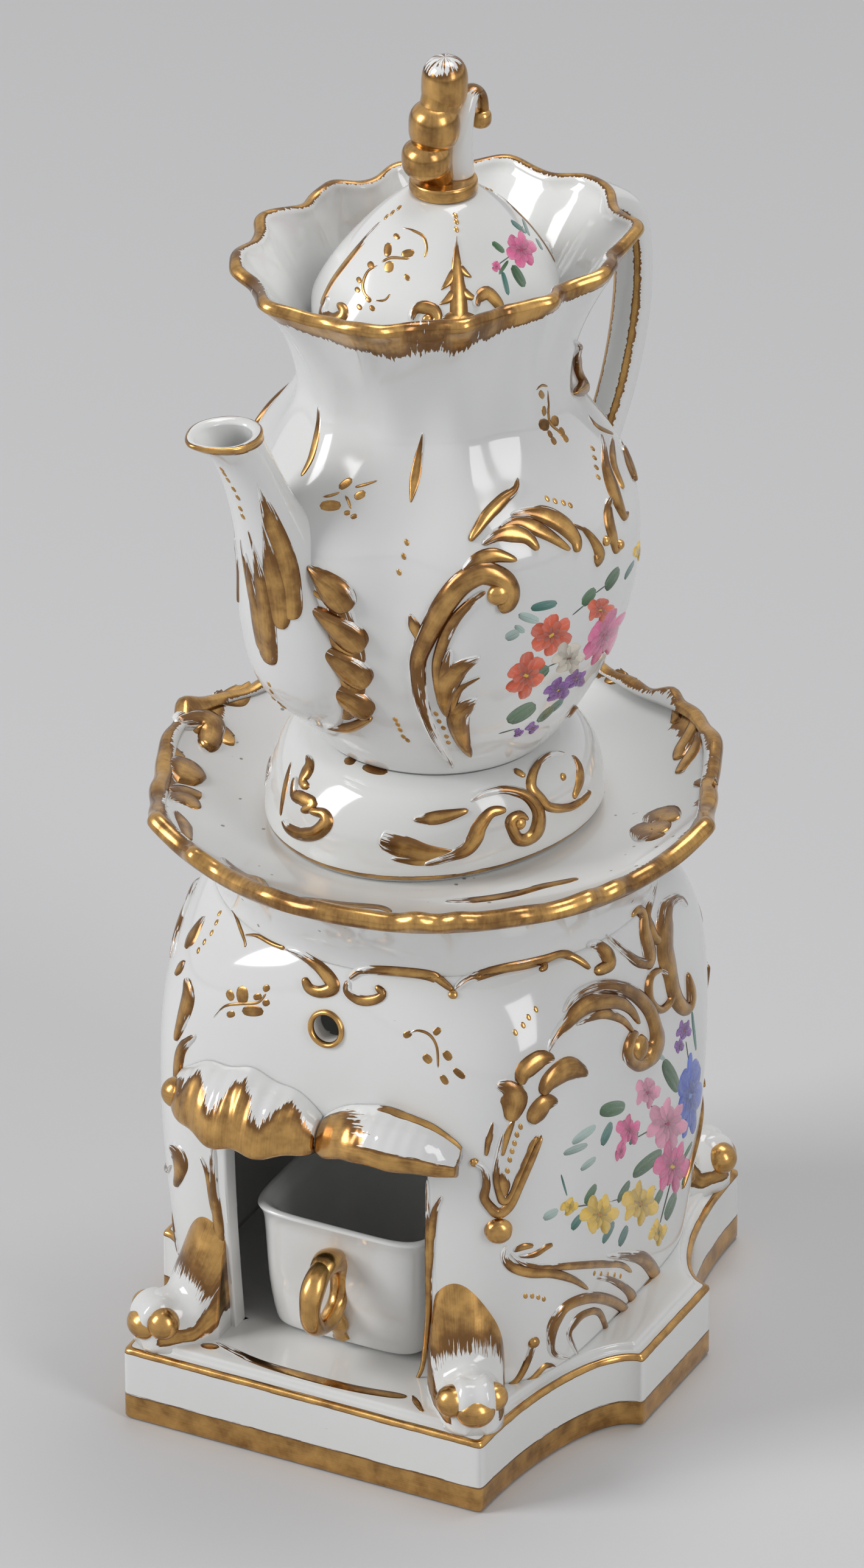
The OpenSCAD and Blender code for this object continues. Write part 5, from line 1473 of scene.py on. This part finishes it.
FRONT_STROKES = {
    "edge_leaf_1": (2, 6, 2, 0.3, 336, 1503, 313, 1538, 303, 1557),
    "edge_leaf_2": (2, 6, 2, 0.3, 303, 1577, 294, 1588, 286, 1600),
    "edge_leaf_3": (3, 9, 3, 0.5, 305, 1604, 307, 1635, 297, 1673, 286, 1708),
    "edge_leaf_4": (3, 8, 3, 0.5, 320, 1698, 297, 1720, 290, 1751, 287, 1789),
    "edge_line": (1.5, 2.5, 1.5, 0.1, 378, 1492, 390, 1515, 400, 1542, 401, 1555),
    "bracket_left": (2, 3, 3, 0.25, 400, 1536, 421, 1536, 444, 1548, 467, 1557),
    "bracket_drop": (4, 8, 5, 0.6, 467, 1555, 491, 1565, 518, 1584, 537, 1604, 545, 1621, 525, 1629,
        506, 1623, 498, 1604),
    "bracket_middle": (5, 6, 4, 0.5, 572, 1608, 591, 1594, 630, 1590, 676, 1592, 707, 1602, 727, 1615,
        742, 1627),
    "bracket_curl": (4, 6, 4, 0.5, 570, 1608, 568, 1627, 582, 1640, 599, 1644, 618, 1640, 626, 1631,
        614, 1619),
    "bracket_right": (4, 6, 4, 0.5, 744, 1627, 761, 1611, 793, 1598, 827, 1583, 860, 1570, 893, 1563,
        920, 1563, 947, 1577, 967, 1593),
    "bracket_branch": (2, 4, 3, 0.3, 840, 1590, 870, 1582, 890, 1582, 893, 1590, 883, 1595),
    "bracket_end": (5, 9, 6, 0.7, 960, 1553, 980, 1555, 997, 1573, 998, 1587, 973, 1598),
    "sprig_1_stem": (1.5, 2, 1.5, 0.08, 348, 1671, 367, 1652, 390, 1648, 421, 1646, 435, 1631),
    "sprig_2_stem": (1.5, 2, 1.5, 0.08, 669, 1698, 684, 1693, 703, 1700, 715, 1720, 717, 1755),
}
SIDE_STROKES = {
    "ring": (4, 5, 4, 0.7, 1081, 1594, 1098, 1606, 1101, 1630, 1095, 1650, 1081, 1660, 1066, 1646,
        1062, 1622, 1068, 1602, 1083, 1594),
    "bell": (4, 8, 5, 0.6, 993, 1537, 1013, 1557, 1043, 1580, 1060, 1583, 1065, 1573, 1057, 1533, 1053, 1503,
        1040, 1492, 1027, 1497),
    "drop": (3, 7, 4, 0.5, 1075, 1440, 1062, 1497, 1067, 1527, 1078, 1545, 1087, 1530, 1083, 1493),
    "long_scroll": (5, 12, 6, 0.8, 1126, 1490, 1113, 1478, 1097, 1487, 1090, 1513, 1090, 1560, 1097, 1593,
        1103, 1627, 1113, 1650, 1126, 1658, 1132, 1640, 1126, 1600),
    "upper_scroll": (5, 10, 6, 1.0, 922, 1665, 937, 1643, 960, 1627, 990, 1620, 1020, 1625, 1043, 1637,
        1063, 1660, 1073, 1693, 1072, 1720, 1060, 1743, 1047, 1750, 1033, 1743, 1027, 1727, 1033, 1707,
        1043, 1697),
    "upper_band": (2, 11, 4, 0.6, 895, 1733, 907, 1707, 927, 1683, 953, 1657, 980, 1647, 1013, 1647,
        1033, 1660, 1047, 1683),
    "upper_inside": (3, 6, 3, 0.4, 943, 1685, 967, 1673, 993, 1667, 1020, 1677, 1037, 1697),
    "lobe_1": (4, 12, 5, 0.7, 907, 1740, 887, 1740, 860, 1760, 852, 1783),
    "lobe_2": (4, 14, 5, 0.7, 960, 1767, 950, 1760, 927, 1758, 900, 1777, 887, 1800),
    "lobe_3": (4, 12, 4, 0.7, 912, 1810, 893, 1813, 877, 1833, 870, 1847),
    "lobe_4": (5, 16, 6, 0.6, 812, 1782, 833, 1788, 842, 1806, 840, 1826, 834, 1843),
    "lobe_line_1": (2, 4, 2, 0.3, 807, 1843, 800, 1873, 795, 1900),
    "lobe_line_2": (2, 4, 2, 0.3, 843, 1837, 830, 1867, 822, 1900),
    "lobe_line_3": (2, 4, 2, 0.3, 887, 1865, 873, 1880, 863, 1900),
    "hook": (4, 6, 4, 0.6, 772, 1908, 790, 1919, 796, 1946, 792, 1968, 803, 1985, 816, 1994, 834, 1981,
        851, 1946, 869, 1906, 886, 1866),
    "hook_inside": (3, 5, 3, 0.4, 823, 1862, 814, 1906, 812, 1937, 818, 1963, 825, 1974, 838, 1963,
        851, 1928, 878, 1866),
    "hook_fill": (2, 9, 3, 0.3, 822, 1925, 822, 1948, 826, 1966),
    "long_leaf_1": (3, 7, 3, 0.5, 827, 2047, 825, 2064, 838, 2082, 869, 2091, 904, 2093, 939, 2104,
        961, 2119),
    "long_leaf_2": (2, 5, 3, 0.4, 834, 2060, 860, 2078, 904, 2082, 948, 2080, 992, 2078, 1018, 2080,
        1032, 2091),
    "long_leaf_3": (2, 4, 2, 0.3, 838, 2056, 856, 2049, 873, 2047),
    "long_leaf_4": (2, 4, 2, 0.3, 847, 2064, 873, 2062, 891, 2051, 904, 2045),
    "low_crest": (4, 9, 4, 0.6, 992, 2064, 1027, 2064, 1054, 2071, 1076, 2100, 1082, 2132, 1070, 2152),
    "low_crest_inside": (3, 6, 3, 0.4, 974, 2100, 1001, 2104, 1027, 2122, 1045, 2152, 1054, 2183,
        1066, 2157),
    "low_scroll": (4, 7, 4, 0.7, 930, 2232, 904, 2223, 900, 2201, 908, 2170, 930, 2144, 966, 2133,
        1001, 2139, 1027, 2161, 1038, 2188, 1031, 2210, 1014, 2217),
    "low_scroll_inside": (3, 5, 3, 0.4, 944, 2227, 930, 2196, 939, 2174, 957, 2159, 979, 2157, 992, 2188,
        996, 2210),
    "low_tail": (4, 4, 2, 0.4, 872, 2205, 862, 2236, 846, 2266, 824, 2287),
    "low_branch": (2, 4, 2, 0.3, 908, 2245, 891, 2245, 869, 2267, 850, 2290),
    "side_stroke": (2, 4, 2, 0.3, 1080, 2148, 1096, 2116, 1104, 2078),
}
DOOR_STROKES = {
    "door_left": (4, 7, 4, 0.5, 348, 1880, 348, 1945, 355, 2009, 357, 2065, 348, 2137, 346, 2185),
    "door_left_spur": (1.5, 4, 2, 0.3, 327, 1898, 338, 1928, 346, 1979, 353, 2009),
    "door_right": (2, 4, 2, 0.25, 698, 1938, 699, 2000, 699, 2056, 699, 2159, 690, 2240, 678, 2285),
    "door_right_spur": (2, 5, 2, 0.3, 722, 1964, 711, 1988, 705, 2022, 703, 2065, 700, 2120),
    "knob_stroke": (4, 9, 4, 0.6, 278, 1880, 290, 1898, 291, 1925, 285, 1946),
}
STAND_DOTS = (4, 359, 1499, 354, 1514, 346, 1531, 334, 1546, 324, 1560, 878, 1659, 866, 1672, 857, 1685,
    844, 1697, 852, 1852, 846, 1865, 842, 1879, 838, 1892, 834, 1906, 830, 1924, 859, 2130, 870, 2130,
    880, 2132, 889, 2135, 972, 2093, 983, 2094, 994, 2095, 1005, 2096, 1015, 2098)
STAND_BALLS = (("scroll_knob", 1047, 1723, 24, 1.6), ("side_ball", 815, 2022, 24, 2.2),
    ("hook_curl", 776, 1910, 8, 0.8), ("low_head", 872, 2206, 11, 1.0), ("bracket_bud", 742, 1634, 8, 0.6))
STAND_LEAVES = (371, 1626, 381, 1642, 6, 396, 1618, 396, 1649, 9, 370, 1667, 384, 1663, 5,
    395, 1660, 431, 1660, 8, 414, 1639, 428, 1634, 5, 430, 1626, 441, 1619, 5, 429, 1649, 441, 1644, 5,
    660, 1703, 674, 1696, 5, 710, 1700, 721, 1689, 5, 727, 1727, 738, 1742, 6, 693, 1733, 706, 1746, 6,
    722, 1766, 732, 1782, 5, 742, 1756, 761, 1772, 5, 338, 1776, 335, 1788, 3, 354, 1778, 352, 1789, 3,
    378, 1780, 376, 1791, 3)
# The threshold of the lamp opening
SILL_STROKES = {
    "sill": (4, 5, 4, 0.14, 350, 2204, 419, 2236, 500, 2261, 585, 2282, 664, 2295),
    "sill_left": (2, 4, 2, 0.12, 324, 2208, 340, 2210, 356, 2212),
    "sill_right": (2, 4, 2, 0.12, 672, 2292, 680, 2305, 690, 2320),
}


# Enamel colours
PAINT = {
    "orange": (0.70, 0.085, 0.015),
    "amber": (0.56, 0.24, 0.015),
    "yellow": (0.78, 0.50, 0.035),
    "leaf": (0.045, 0.145, 0.05),
    "dark": (0.03, 0.06, 0.03),
    "teal": (0.045, 0.19, 0.155),
    "mist": (0.42, 0.55, 0.51),
    "pink": (0.70, 0.10, 0.28),
    "blush": (0.76, 0.28, 0.42),
    "rose": (0.40, 0.02, 0.09),
    "purple": (0.20, 0.05, 0.33),
    "blue": (0.045, 0.11, 0.56),
    "sky": (0.20, 0.34, 0.76),
    "brown": (0.17, 0.075, 0.03),
    "cream": (0.66, 0.60, 0.50),
}
# Painted leaves: colour, then the pixels of the two ends and the half width in pixels, in turn
LID_PAINT = {
    "teal": (842, 364, 868, 382, 8, 862, 360, 872, 388, 7, 882, 368, 892, 384, 6, 828, 446, 838, 486, 5,
        884, 392, 894, 412, 5),
    "leaf": (811, 398, 832, 415, 6, 844, 436, 865, 472, 9, 838, 428, 822, 452, 4),
    "dark": (820, 436, 842, 420, 1.5, 856, 384, 862, 372, 1.5),
}
LID_BLOOMS = {
    "rose": (859, 411, 25, 31, -20, "pink", "rose", 6),
    "bud": (818, 438, 7, 9, 0, "pink", "rose", 3),
}
POT_PAINT = {
    "mist": (852, 1010, 886, 1022, 9, 830, 1050, 854, 1038, 9, 846, 1028, 862, 1040, 6),
    "teal": (872, 1000, 916, 992, 9, 1026, 952, 1043, 924, 8, 900, 1172, 926, 1150, 7),
    "leaf": (956, 994, 980, 970, 11, 994, 968, 1019, 937, 13, 866, 1124, 902, 1096, 11,
        834, 1188, 880, 1158, 13, 884, 1188, 910, 1160, 9),
    "dark": (818, 1206, 847, 1198, 1.5, 940, 1012, 962, 994, 1.5, 900, 1096, 924, 1086, 1.5,
        978, 976, 1000, 960, 1.5),
}
POT_BLOOMS = {
    "orange_high": (906, 1044, 38, 32, -35, "orange", "yellow", 6),
    "orange_low": (864, 1110, 28, 42, 24, "orange", "yellow", 6),
    "orange_far": (986, 1003, 23, 20, 0, "orange", "yellow", 5),
    "magenta": (992, 1046, 23, 54, 32, "pink", "rose", 6),
    "white": (934, 1082, 27, 28, 0, "cream", "brown", 6),
    "violet_1": (916, 1134, 24, 18, -30, "purple", "yellow", 5),
    "violet_2": (946, 1116, 18, 15, -30, "purple", "amber", 5),
    "violet_3": (873, 1196, 10, 9, 0, "purple", "amber", 4),
    "violet_4": (851, 1204, 7, 7, 0, "purple", "amber", 3),
    "primrose": (1049, 908, 8, 14, 0, "yellow", "amber", 4),
}
STAND_PAINT = {
    "mist": (936, 1878, 976, 1852, 10, 922, 1896, 962, 1882, 8, 950, 1922, 976, 1904, 8,
        888, 2002, 914, 1990, 9, 1060, 1722, 1090, 1742, 6),
    "teal": (984, 1882, 1003, 1846, 10, 1030, 1880, 1046, 1862, 8, 934, 2020, 953, 1998, 9,
        985, 2042, 1006, 2010, 10, 1012, 2048, 1028, 2016, 9, 1134, 1662, 1141, 1728, 5,
        918, 1930, 928, 1966, 2.5),
    "leaf": (982, 1826, 1024, 1820, 15, 1086, 1746, 1112, 1792, 16, 1036, 1930, 1084, 1896, 17,
        956, 1978, 977, 1948, 9, 1010, 1974, 1032, 1944, 11, 1068, 1988, 1086, 1954, 9,
        1088, 2004, 1108, 1962, 12, 1116, 1948, 1133, 1912, 7, 1118, 1908, 1134, 1878, 6),
    "dark": (930, 1985, 1000, 1975, 1.8, 1000, 1975, 1075, 1955, 1.8, 1062, 1815, 1088, 1836, 1.8,
        1040, 1872, 1076, 1852, 1.8, 1124, 1712, 1129, 1748, 1.5, 1098, 1944, 1080, 2012, 1.8),
}
STAND_BLOOMS = {
    "violet_1": (1121, 1694, 13, 17, 20, "purple", "rose", 5),
    "violet_2": (1113, 1720, 8, 12, 20, "purple", "dark", 4),
    "blue_rose": (1130, 1802, 19, 72, 4, "blue", "sky", 7),
    "pink_high": (1060, 1796, 22, 24, 0, "blush", "rose", 5),
    "rose_1": (1092, 1848, 34, 42, 10, "blush", "rose", 7),
    "rose_2": (1100, 1918, 30, 43, 8, "pink", "yellow", 6),
    "pink_left": (1029, 1858, 20, 24, -20, "pink", "rose", 5),
    "pink_tail": (1015, 1892, 8, 16, 15, "pink", "rose", 3),
    "yellow_1": (980, 1996, 32, 31, 0, "yellow", "amber", 6),
    "yellow_2": (1047, 1978, 31, 34, 20, "yellow", "amber", 6),
    "yellow_bud": (931, 1983, 14, 13, 0, "yellow", "amber", 4),
    "yellow_low": (1076, 2026, 14, 20, -10, "yellow", "leaf", 4),
}


def shaded(colour, seed):
    """A tint along and across a petal: deeper at its root, on one side and along veins, paler at its tip."""
    base = np.array(colour) * (1.0 + 0.14 * np.cos(2.4 * seed))

    def tint(t, s):
        """The colour at the share t along the petal and at s across it."""
        vein = 0.5 + 0.5 * np.cos(9.0 * s + 2.0 * seed)
        pale = np.clip(0.5 * t - 0.2 + 0.2 * s + 0.25 * vein, 0.0, 0.5)[..., None]
        deep = np.clip(0.3 - 0.6 * t - 0.35 * s, 0.0, 0.5)[..., None]
        return (base * (1 - pale) + (base * 0.6 + 0.28) * pale) * (1 - deep)

    return tint


# A surface faces the camera, or is hidden from it, where its normal along the camera's back passes these
FACING = 0.04
HIDDEN = -0.05
# The step along a surface, as a share of its slope, that shows which way a pixel moves
NUDGE = 0.1


class Found(Carrier):
    """A carrier whose two parameters are found, within their ranges, from pixels of the photograph."""

    def __init__(self, points, p_range, q_range):
        super().__init__(points, (p_range[1] - p_range[0]) / 900, (q_range[1] - q_range[0]) / 900)
        p, q = np.meshgrid(np.linspace(*p_range, 241), np.linspace(*q_range, 91)[1:-1], indexing="ij")
        self.ranges = p_range, q_range
        self.grid = np.stack([p.ravel(), q.ravel()], -1)
        place, _, _, normal = self.at(*self.grid.T)
        seen = normal @ BACK > FACING
        self.grid, self.shown = self.grid[seen], pixels(place[seen])

    def find(self, xy):
        """The parameters at pixels: the nearest grid point that faces the camera, then Newton's steps."""
        xy = np.reshape(xy, (-1, 2)).astype(float)
        nearest = np.linalg.norm(self.shown[None] - xy[:, None], axis=-1).argmin(1)
        first = self.grid[nearest]
        room = np.array([r[1] - r[0] for r in self.ranges]) / (120, 45)
        spot = first
        for _ in range(6):
            place, slope_p, slope_q, _ = self.at(*spot.T)
            shown = pixels(place)
            ratio = room[0] / room[1]
            by_p = pixels(place + slope_p * NUDGE) - shown
            by_q = pixels(place + slope_q * NUDGE / ratio) - shown
            off = (xy - shown) * NUDGE
            det = by_p[:, 0] * by_q[:, 1] - by_p[:, 1] * by_q[:, 0]
            det = np.where(np.abs(det) < 1e-6, 1e-6, det)
            step = np.stack([(off[:, 0] * by_q[:, 1] - off[:, 1] * by_q[:, 0]) / det,
                (by_p[:, 0] * off[:, 1] - by_p[:, 1] * off[:, 0]) / det / ratio], -1)
            spot = np.clip(spot + step, first - room, first + room)
        return spot.T

    def stroke(self, sheet, xy, widths, rise, copies, **look):
        """Lays a stroke through pixels, and its copies: a sign and a turn for the first parameter each."""
        p, q = self.find(xy)
        place, _, _, normal = self.at(p, q)
        side = np.cross(normal, unit(np.gradient(place, axis=0)))
        scale = np.linalg.norm(pixels(place + side) - pixels(place), axis=-1)
        width = curve(np.array(widths, float)[:, None], np.linspace(0, 1, len(p)))[:, 0]
        half = width / np.maximum(scale, LEAST_PER_MM)
        for moved in self.copied(p, q, copies):
            lay(sheet, self, np.stack([moved, q, half], -1), rise, **look)

    def copied(self, p, q, copies):
        """The first parameter as read, then that of each copy that the photograph doesn't show."""
        for k, (sign, turn) in enumerate(copies):
            moved = sign * p + turn
            also = [moved] if k < 2 else [moved, 180 - moved]
            if k == 0 or all((self.at(angle, q)[3] @ BACK).mean() < HIDDEN for angle in also):
                yield moved


# Rings of petals: where they start and end along the bloom's reach, and how deep their colour is
PETAL_RINGS = ((0.3, 1.0, 1.15), (0.12, 0.72, 0.95), (0.02, 0.42, 0.6))
# How much wider than its raised core a brushed stroke of gold lies
BRUSH = 1.5
DISH_BRUSH = 2.3
# A stroke whose end is wider than this in pixels ends in a round lobe
LOBE = 15
# How much each stroke of enamel lies above the one before it, in millimetres
LAYER = 0.0008
# Enamel's least rise, and the half widths in pixels of a leaf's rib and a petal's vein
ENAMEL = 0.05
RIB = 0.9
VEIN = 0.7
# How much higher than it was read a stroke of gold is laid
RAISE = 1.3
# Sprig leaves in gold: how much wider they are laid, their rise and their gilding
SPRIG_BRUSH = 1.25
SPRIG_RISE = 0.1
SPRIG_GILT = 0.86
# The photograph's scale in pixels to the millimetre on the front, and the least for a surface seen edge on
PER_MM = 8.5
LEAST_PER_MM = 3.4
# Dots: their rise, the smaller scale that makes them taller than wide, and their lean
DOT_RISE = 0.2
DOT_PER_MM = 5.5
DOT_LEAN = 20.0
# Copies of a stroke: a sign and a turn for the angle round the surface
AS_READ = ((1, 0),)
POT_TWICE = ((1, 0), (-1, 540))
SIDES = ((1, 0), (-1, 180))
ALL_ROUND = ((1, 0), (-1, 180), (-1, 0), (1, 180))
LID_TWICE = ((1, 0), (1, 180))
# Ranges of a surface's angle, and of its height or share of the way up. The seam is out of sight
STAND_RANGES = ((110, 470), (STEP_Z, BODY_TOP))
POT_RANGES = ((140, 500), (FOOT_H, POT_H))
LID_RANGES = ((140, 500), (0.0, 1.0))
# Painted bodies: surface, its ranges, leaves, blooms, copies
PAINTED = {
    "stand": (stand_wall, STAND_RANGES, STAND_PAINT, STAND_BLOOMS, SIDES + ((1, 80),)),
    "teapot": (pot_wall, POT_RANGES, POT_PAINT, POT_BLOOMS, POT_TWICE),
    "lid": (lid_dome, LID_RANGES, LID_PAINT, LID_BLOOMS, LID_TWICE),
}


def brushed(t, s):
    """Gilding of a stroke: it fades in from its start and thins towards its edges, more so on one side.
    The thinner gilding also turns the gold browner there as painted shade, so the stroke's middle stands as
    a painted highlight.
    """
    return 1 - 0.26 * s**2 - 0.55 * np.maximum(0.0, 1 - t / 0.4) - 0.16 * np.maximum(0.0, s)


def gild(sheet, carrier, strokes=None, dots=(), balls=(), leaves=(), copies=AS_READ, brush=BRUSH):
    """Lays a table of gilt strokes, rows of dots, balls and sprig leaves on a carrier."""
    for stroke in (strokes or {}).values():
        widths = [brush * width for width in stroke[:3]]
        blunt = 0.45 if stroke[2] > LOBE else 0.12
        carrier.stroke(sheet, stroke[4:], widths, RAISE * stroke[3], copies, gilt=brushed, blunt=blunt)
    for x, y in np.reshape(dots[1:], (-1, 2)):
        p, q = carrier.find((x, y))
        for moved in carrier.copied(p, q, copies):
            boss(sheet, carrier, moved[0], q[0], dots[0] / PER_MM, DOT_RISE, dots[0] / DOT_PER_MM, DOT_LEAN)
    for _, x, y, radius, rise in balls:
        p, q = carrier.find((x, y))
        for moved in carrier.copied(p, q, copies):
            boss(sheet, carrier, moved[0], q[0], radius / PER_MM, rise)
    for x0, y0, x1, y1, half in np.reshape(leaves, (-1, 5)):
        carrier.stroke(sheet, (x0, y0, (x0 + x1) / 2, (y0 + y1) / 2, x1, y1), (SPRIG_BRUSH * half,) * 3,
            SPRIG_RISE, copies, gilt=SPRIG_GILT, blunt=0.5)


def paint(sheet, carrier, leaves, blooms, copies=AS_READ):
    """Paints leaves and flowers as blunt strokes. Each rises a little more, so that later ones lie on
    top."""
    layer = itertools.count()

    def brush(xy, half, tint):
        """One stroke, a little above the last."""
        carrier.stroke(sheet, xy, (half, half, half), ENAMEL + LAYER * next(layer), copies, tint=tint,
            blunt=0.5, dome=0.25)

    for colour, numbers in leaves.items():
        for k, (x0, y0, x1, y1, half) in enumerate(np.reshape(numbers, (-1, 5))):
            line = (x0, y0, (x0 + x1) / 2, (y0 + y1) / 2, x1, y1)
            brush(line, half, shaded(PAINT[colour], k))
            if half > 5:
                brush(line, RIB, PAINT["dark"])
    for x, y, across, tall, lean, colour, heart, count in blooms.values():
        def spot(turn, reach):
            """The pixel at an angle round the bloom and a share of its reach."""
            u, v = across * reach * cosd(turn), tall * reach * sind(turn)
            return x + u * cosd(lean) - v * sind(lean), y + u * sind(lean) + v * cosd(lean)

        for ring, (root, tip, depth) in enumerate(PETAL_RINGS):
            tone = np.array(PAINT[colour]) * depth
            for k in range(count):
                turn = 360 * (k + 0.5 * ring) / count
                half = 2.5 / count * tip * np.hypot(across * sind(turn), tall * cosd(turn))
                line = spot(turn, root) + spot(turn, (root + tip) / 2) + spot(turn, tip)
                brush(line, half, shaded(tone, k + ring))
                if ring < 2:
                    brush(spot(turn, root + 0.1) + spot(turn, 0.5 * tip) + spot(turn, 0.8 * tip), VEIN,
                        tone * 0.6)
        brush(spot(180, 0.16) + (x, y) + spot(0, 0.16), 0.16 * tall, PAINT[heart])


def deck(x, y):
    """The step's level top over x and y."""
    return np.stack(np.broadcast_arrays(x, y, STEP_Z), -1).astype(float)


class TEAWARMER_OT_gilding(bpy.types.Operator):
    """Lays the raised and painted gilding on the stand, the dish, the teapot and the lid"""

    bl_idname = "tea_warmer.gilding"
    bl_label = "Gilding"

    def execute(self, context):
        stand = Found(stand_wall, *STAND_RANGES)
        sheet = Sheet()
        gild(sheet, stand, DOOR_STROKES)
        gild(sheet, stand, FRONT_STROKES, (), (), STAND_LEAVES, ((1, 0), (-1, 0)))
        gild(sheet, stand, SIDE_STROKES, STAND_DOTS, STAND_BALLS, (), ALL_ROUND)
        turn = circle(60)[:, None]
        round_ = circle(16)[None, :]
        reach = VENT_R + 0.35 + 0.55 * cosd(round_)
        for end in (1, -1):
            ring = stand_front(reach * cosd(turn), VENT_Z + reach * sind(turn), 0.75 * sind(round_))
            sheet.add(ring * (1, end, 1), ring=True, hoop=True, gilt=1.0, flip=end > 0)
        gild(sheet, Found(deck, (-34, 34), (-57, -40)), SILL_STROKES)
        sheet.build(context, "stand_gilding", "stand")
        dish = Found(dish_face, (117, 477), (0.3, 2.0))
        sheet = Sheet()
        gild(sheet, dish, DISH_STROKES, brush=DISH_BRUSH)
        sheet.build(context, "dish_gilding", "stand")
        pot = Found(pot_wall, *POT_RANGES)
        spout = Found(spout_wall, (110, 470), (0.0, 1.0))
        foot = Found(pot_foot, (140, 500), (0.0, 1.0))
        sheet = Sheet()
        gild(sheet, pot, POT_STROKES, POT_DOTS, POT_BALLS, POT_LEAVES, POT_TWICE)
        gild(sheet, spout, SPOUT_STROKES, SPOUT_DOTS, copies=POT_TWICE)
        gild(sheet, foot, FOOT_STROKES, (), FOOT_BALLS, FOOT_LEAVES, POT_TWICE)
        sheet.build(context, "teapot_gilding", "teapot")
        lid = Found(lid_dome, *LID_RANGES)
        sheet = Sheet()
        gild(sheet, lid, LID_STROKES, LID_DOTS, LID_BALLS, LID_LEAVES, LID_TWICE)
        sheet.build(context, "lid_gilding", "lid")
        return {"FINISHED"}


class TEAWARMER_OT_flowers(bpy.types.Operator):
    """Paints the flowers in enamel on the stand, the teapot and the lid"""

    bl_idname = "tea_warmer.flowers"
    bl_label = "Flowers"

    def execute(self, context):
        for body, (points, ranges, leaves, blooms, copies) in PAINTED.items():
            sheet = Sheet()
            paint(sheet, Found(points, *ranges), leaves, blooms, copies)
            sheet.build(context, body + "_flowers", body, look="painted_enamel")
        return {"FINISHED"}


def colour_setting(name, description, default):
    """A colour that can be set in the panel."""
    return bpy.props.FloatVectorProperty(name=name, description=description, subtype="COLOR",
        default=default, min=0.0, max=1.0)


class TeaWarmerSettings(bpy.types.PropertyGroup):
    """Colours of the finishes, wear of the gilding and the camera's place"""

    glaze: colour_setting("Glaze", "Glaze where it lies thick", (0.82, 0.825, 0.815))
    glaze_shade: colour_setting("Glaze shade", "Glaze where it lies thin", (0.77, 0.78, 0.772))
    # Bright gilding also serves as a painted highlight along the middle of each stroke, and dark gilding as
    # painted brown shade along its edges.
    gilt_bright_and_highlight: colour_setting("Bright gilding", "Gilding where it is burnished", (0.68, 0.395, 0.125))
    gilt_dark_and_shade: colour_setting("Dark gilding", "Gilding where it is thin and brown", (0.22, 0.105, 0.033))
    wear: bpy.props.FloatProperty(name="Wear", description="How unevenly the gilding is worn", default=1.2,
        min=0.0, max=3.0, subtype="FACTOR")
    floor: colour_setting("Floor", "Floor and backdrop", (0.64, 0.64, 0.65))
    world: colour_setting("World", "Light from all round", (1.0, 1.0, 1.0))
    world_strength: bpy.props.FloatProperty(name="World strength",
        description="Strength of the light from all round", default=0.22, min=0.0)
    azimuth: bpy.props.FloatProperty(name="Azimuth",
        description="Camera's turn from the front towards the right", default=np.radians(AZIMUTH),
        subtype="ANGLE")
    elevation: bpy.props.FloatProperty(name="Elevation", description="Camera's angle above level",
        default=np.radians(ELEVATION), subtype="ANGLE")
    distance: bpy.props.FloatProperty(name="Distance", description="Camera's distance from the middle",
        default=DISTANCE * MM, unit="LENGTH", min=0.3)


PIECES = (TEAWARMER_OT_plinth, TEAWARMER_OT_stand, TEAWARMER_OT_hood, TEAWARMER_OT_feet, TEAWARMER_OT_dish,
    TEAWARMER_OT_teapot, TEAWARMER_OT_spout_and_handle, TEAWARMER_OT_lid, TEAWARMER_OT_lamp_cup,
    TEAWARMER_OT_wick_float, TEAWARMER_OT_gilding, TEAWARMER_OT_flowers, TEAWARMER_OT_stage)


class VIEW3D_PT_tea_warmer(bpy.types.Panel):
    """Lists the tea warmer's pieces and settings in the sidebar"""

    bl_label = "Tea Warmer"
    bl_idname = "VIEW3D_PT_tea_warmer"
    bl_space_type = "VIEW_3D"
    bl_region_type = "UI"
    bl_category = "Tea Warmer"

    def draw(self, context):
        settings = context.scene.tea_warmer
        for name in settings.bl_rna.properties.keys():
            if name not in ("rna_type", "name"):
                self.layout.prop(settings, name)
        for piece in PIECES:
            self.layout.operator(piece.bl_idname)


CLASSES = (TeaWarmerSettings,) + PIECES + (VIEW3D_PT_tea_warmer,)


def register():
    """Adds the classes, and the settings to every scene."""
    for item in CLASSES:
        bpy.utils.register_class(item)
    bpy.types.Scene.tea_warmer = bpy.props.PointerProperty(type=TeaWarmerSettings)


def unregister():
    """Takes away what register added."""
    del bpy.types.Scene.tea_warmer
    for item in reversed(CLASSES):
        bpy.utils.unregister_class(item)


def main():
    """Registers the classes and makes every piece in turn."""
    register()
    for piece in PIECES:
        group, name = piece.bl_idname.split(".")
        getattr(getattr(bpy.ops, group), name)()


if __name__ == "__main__":
    main()
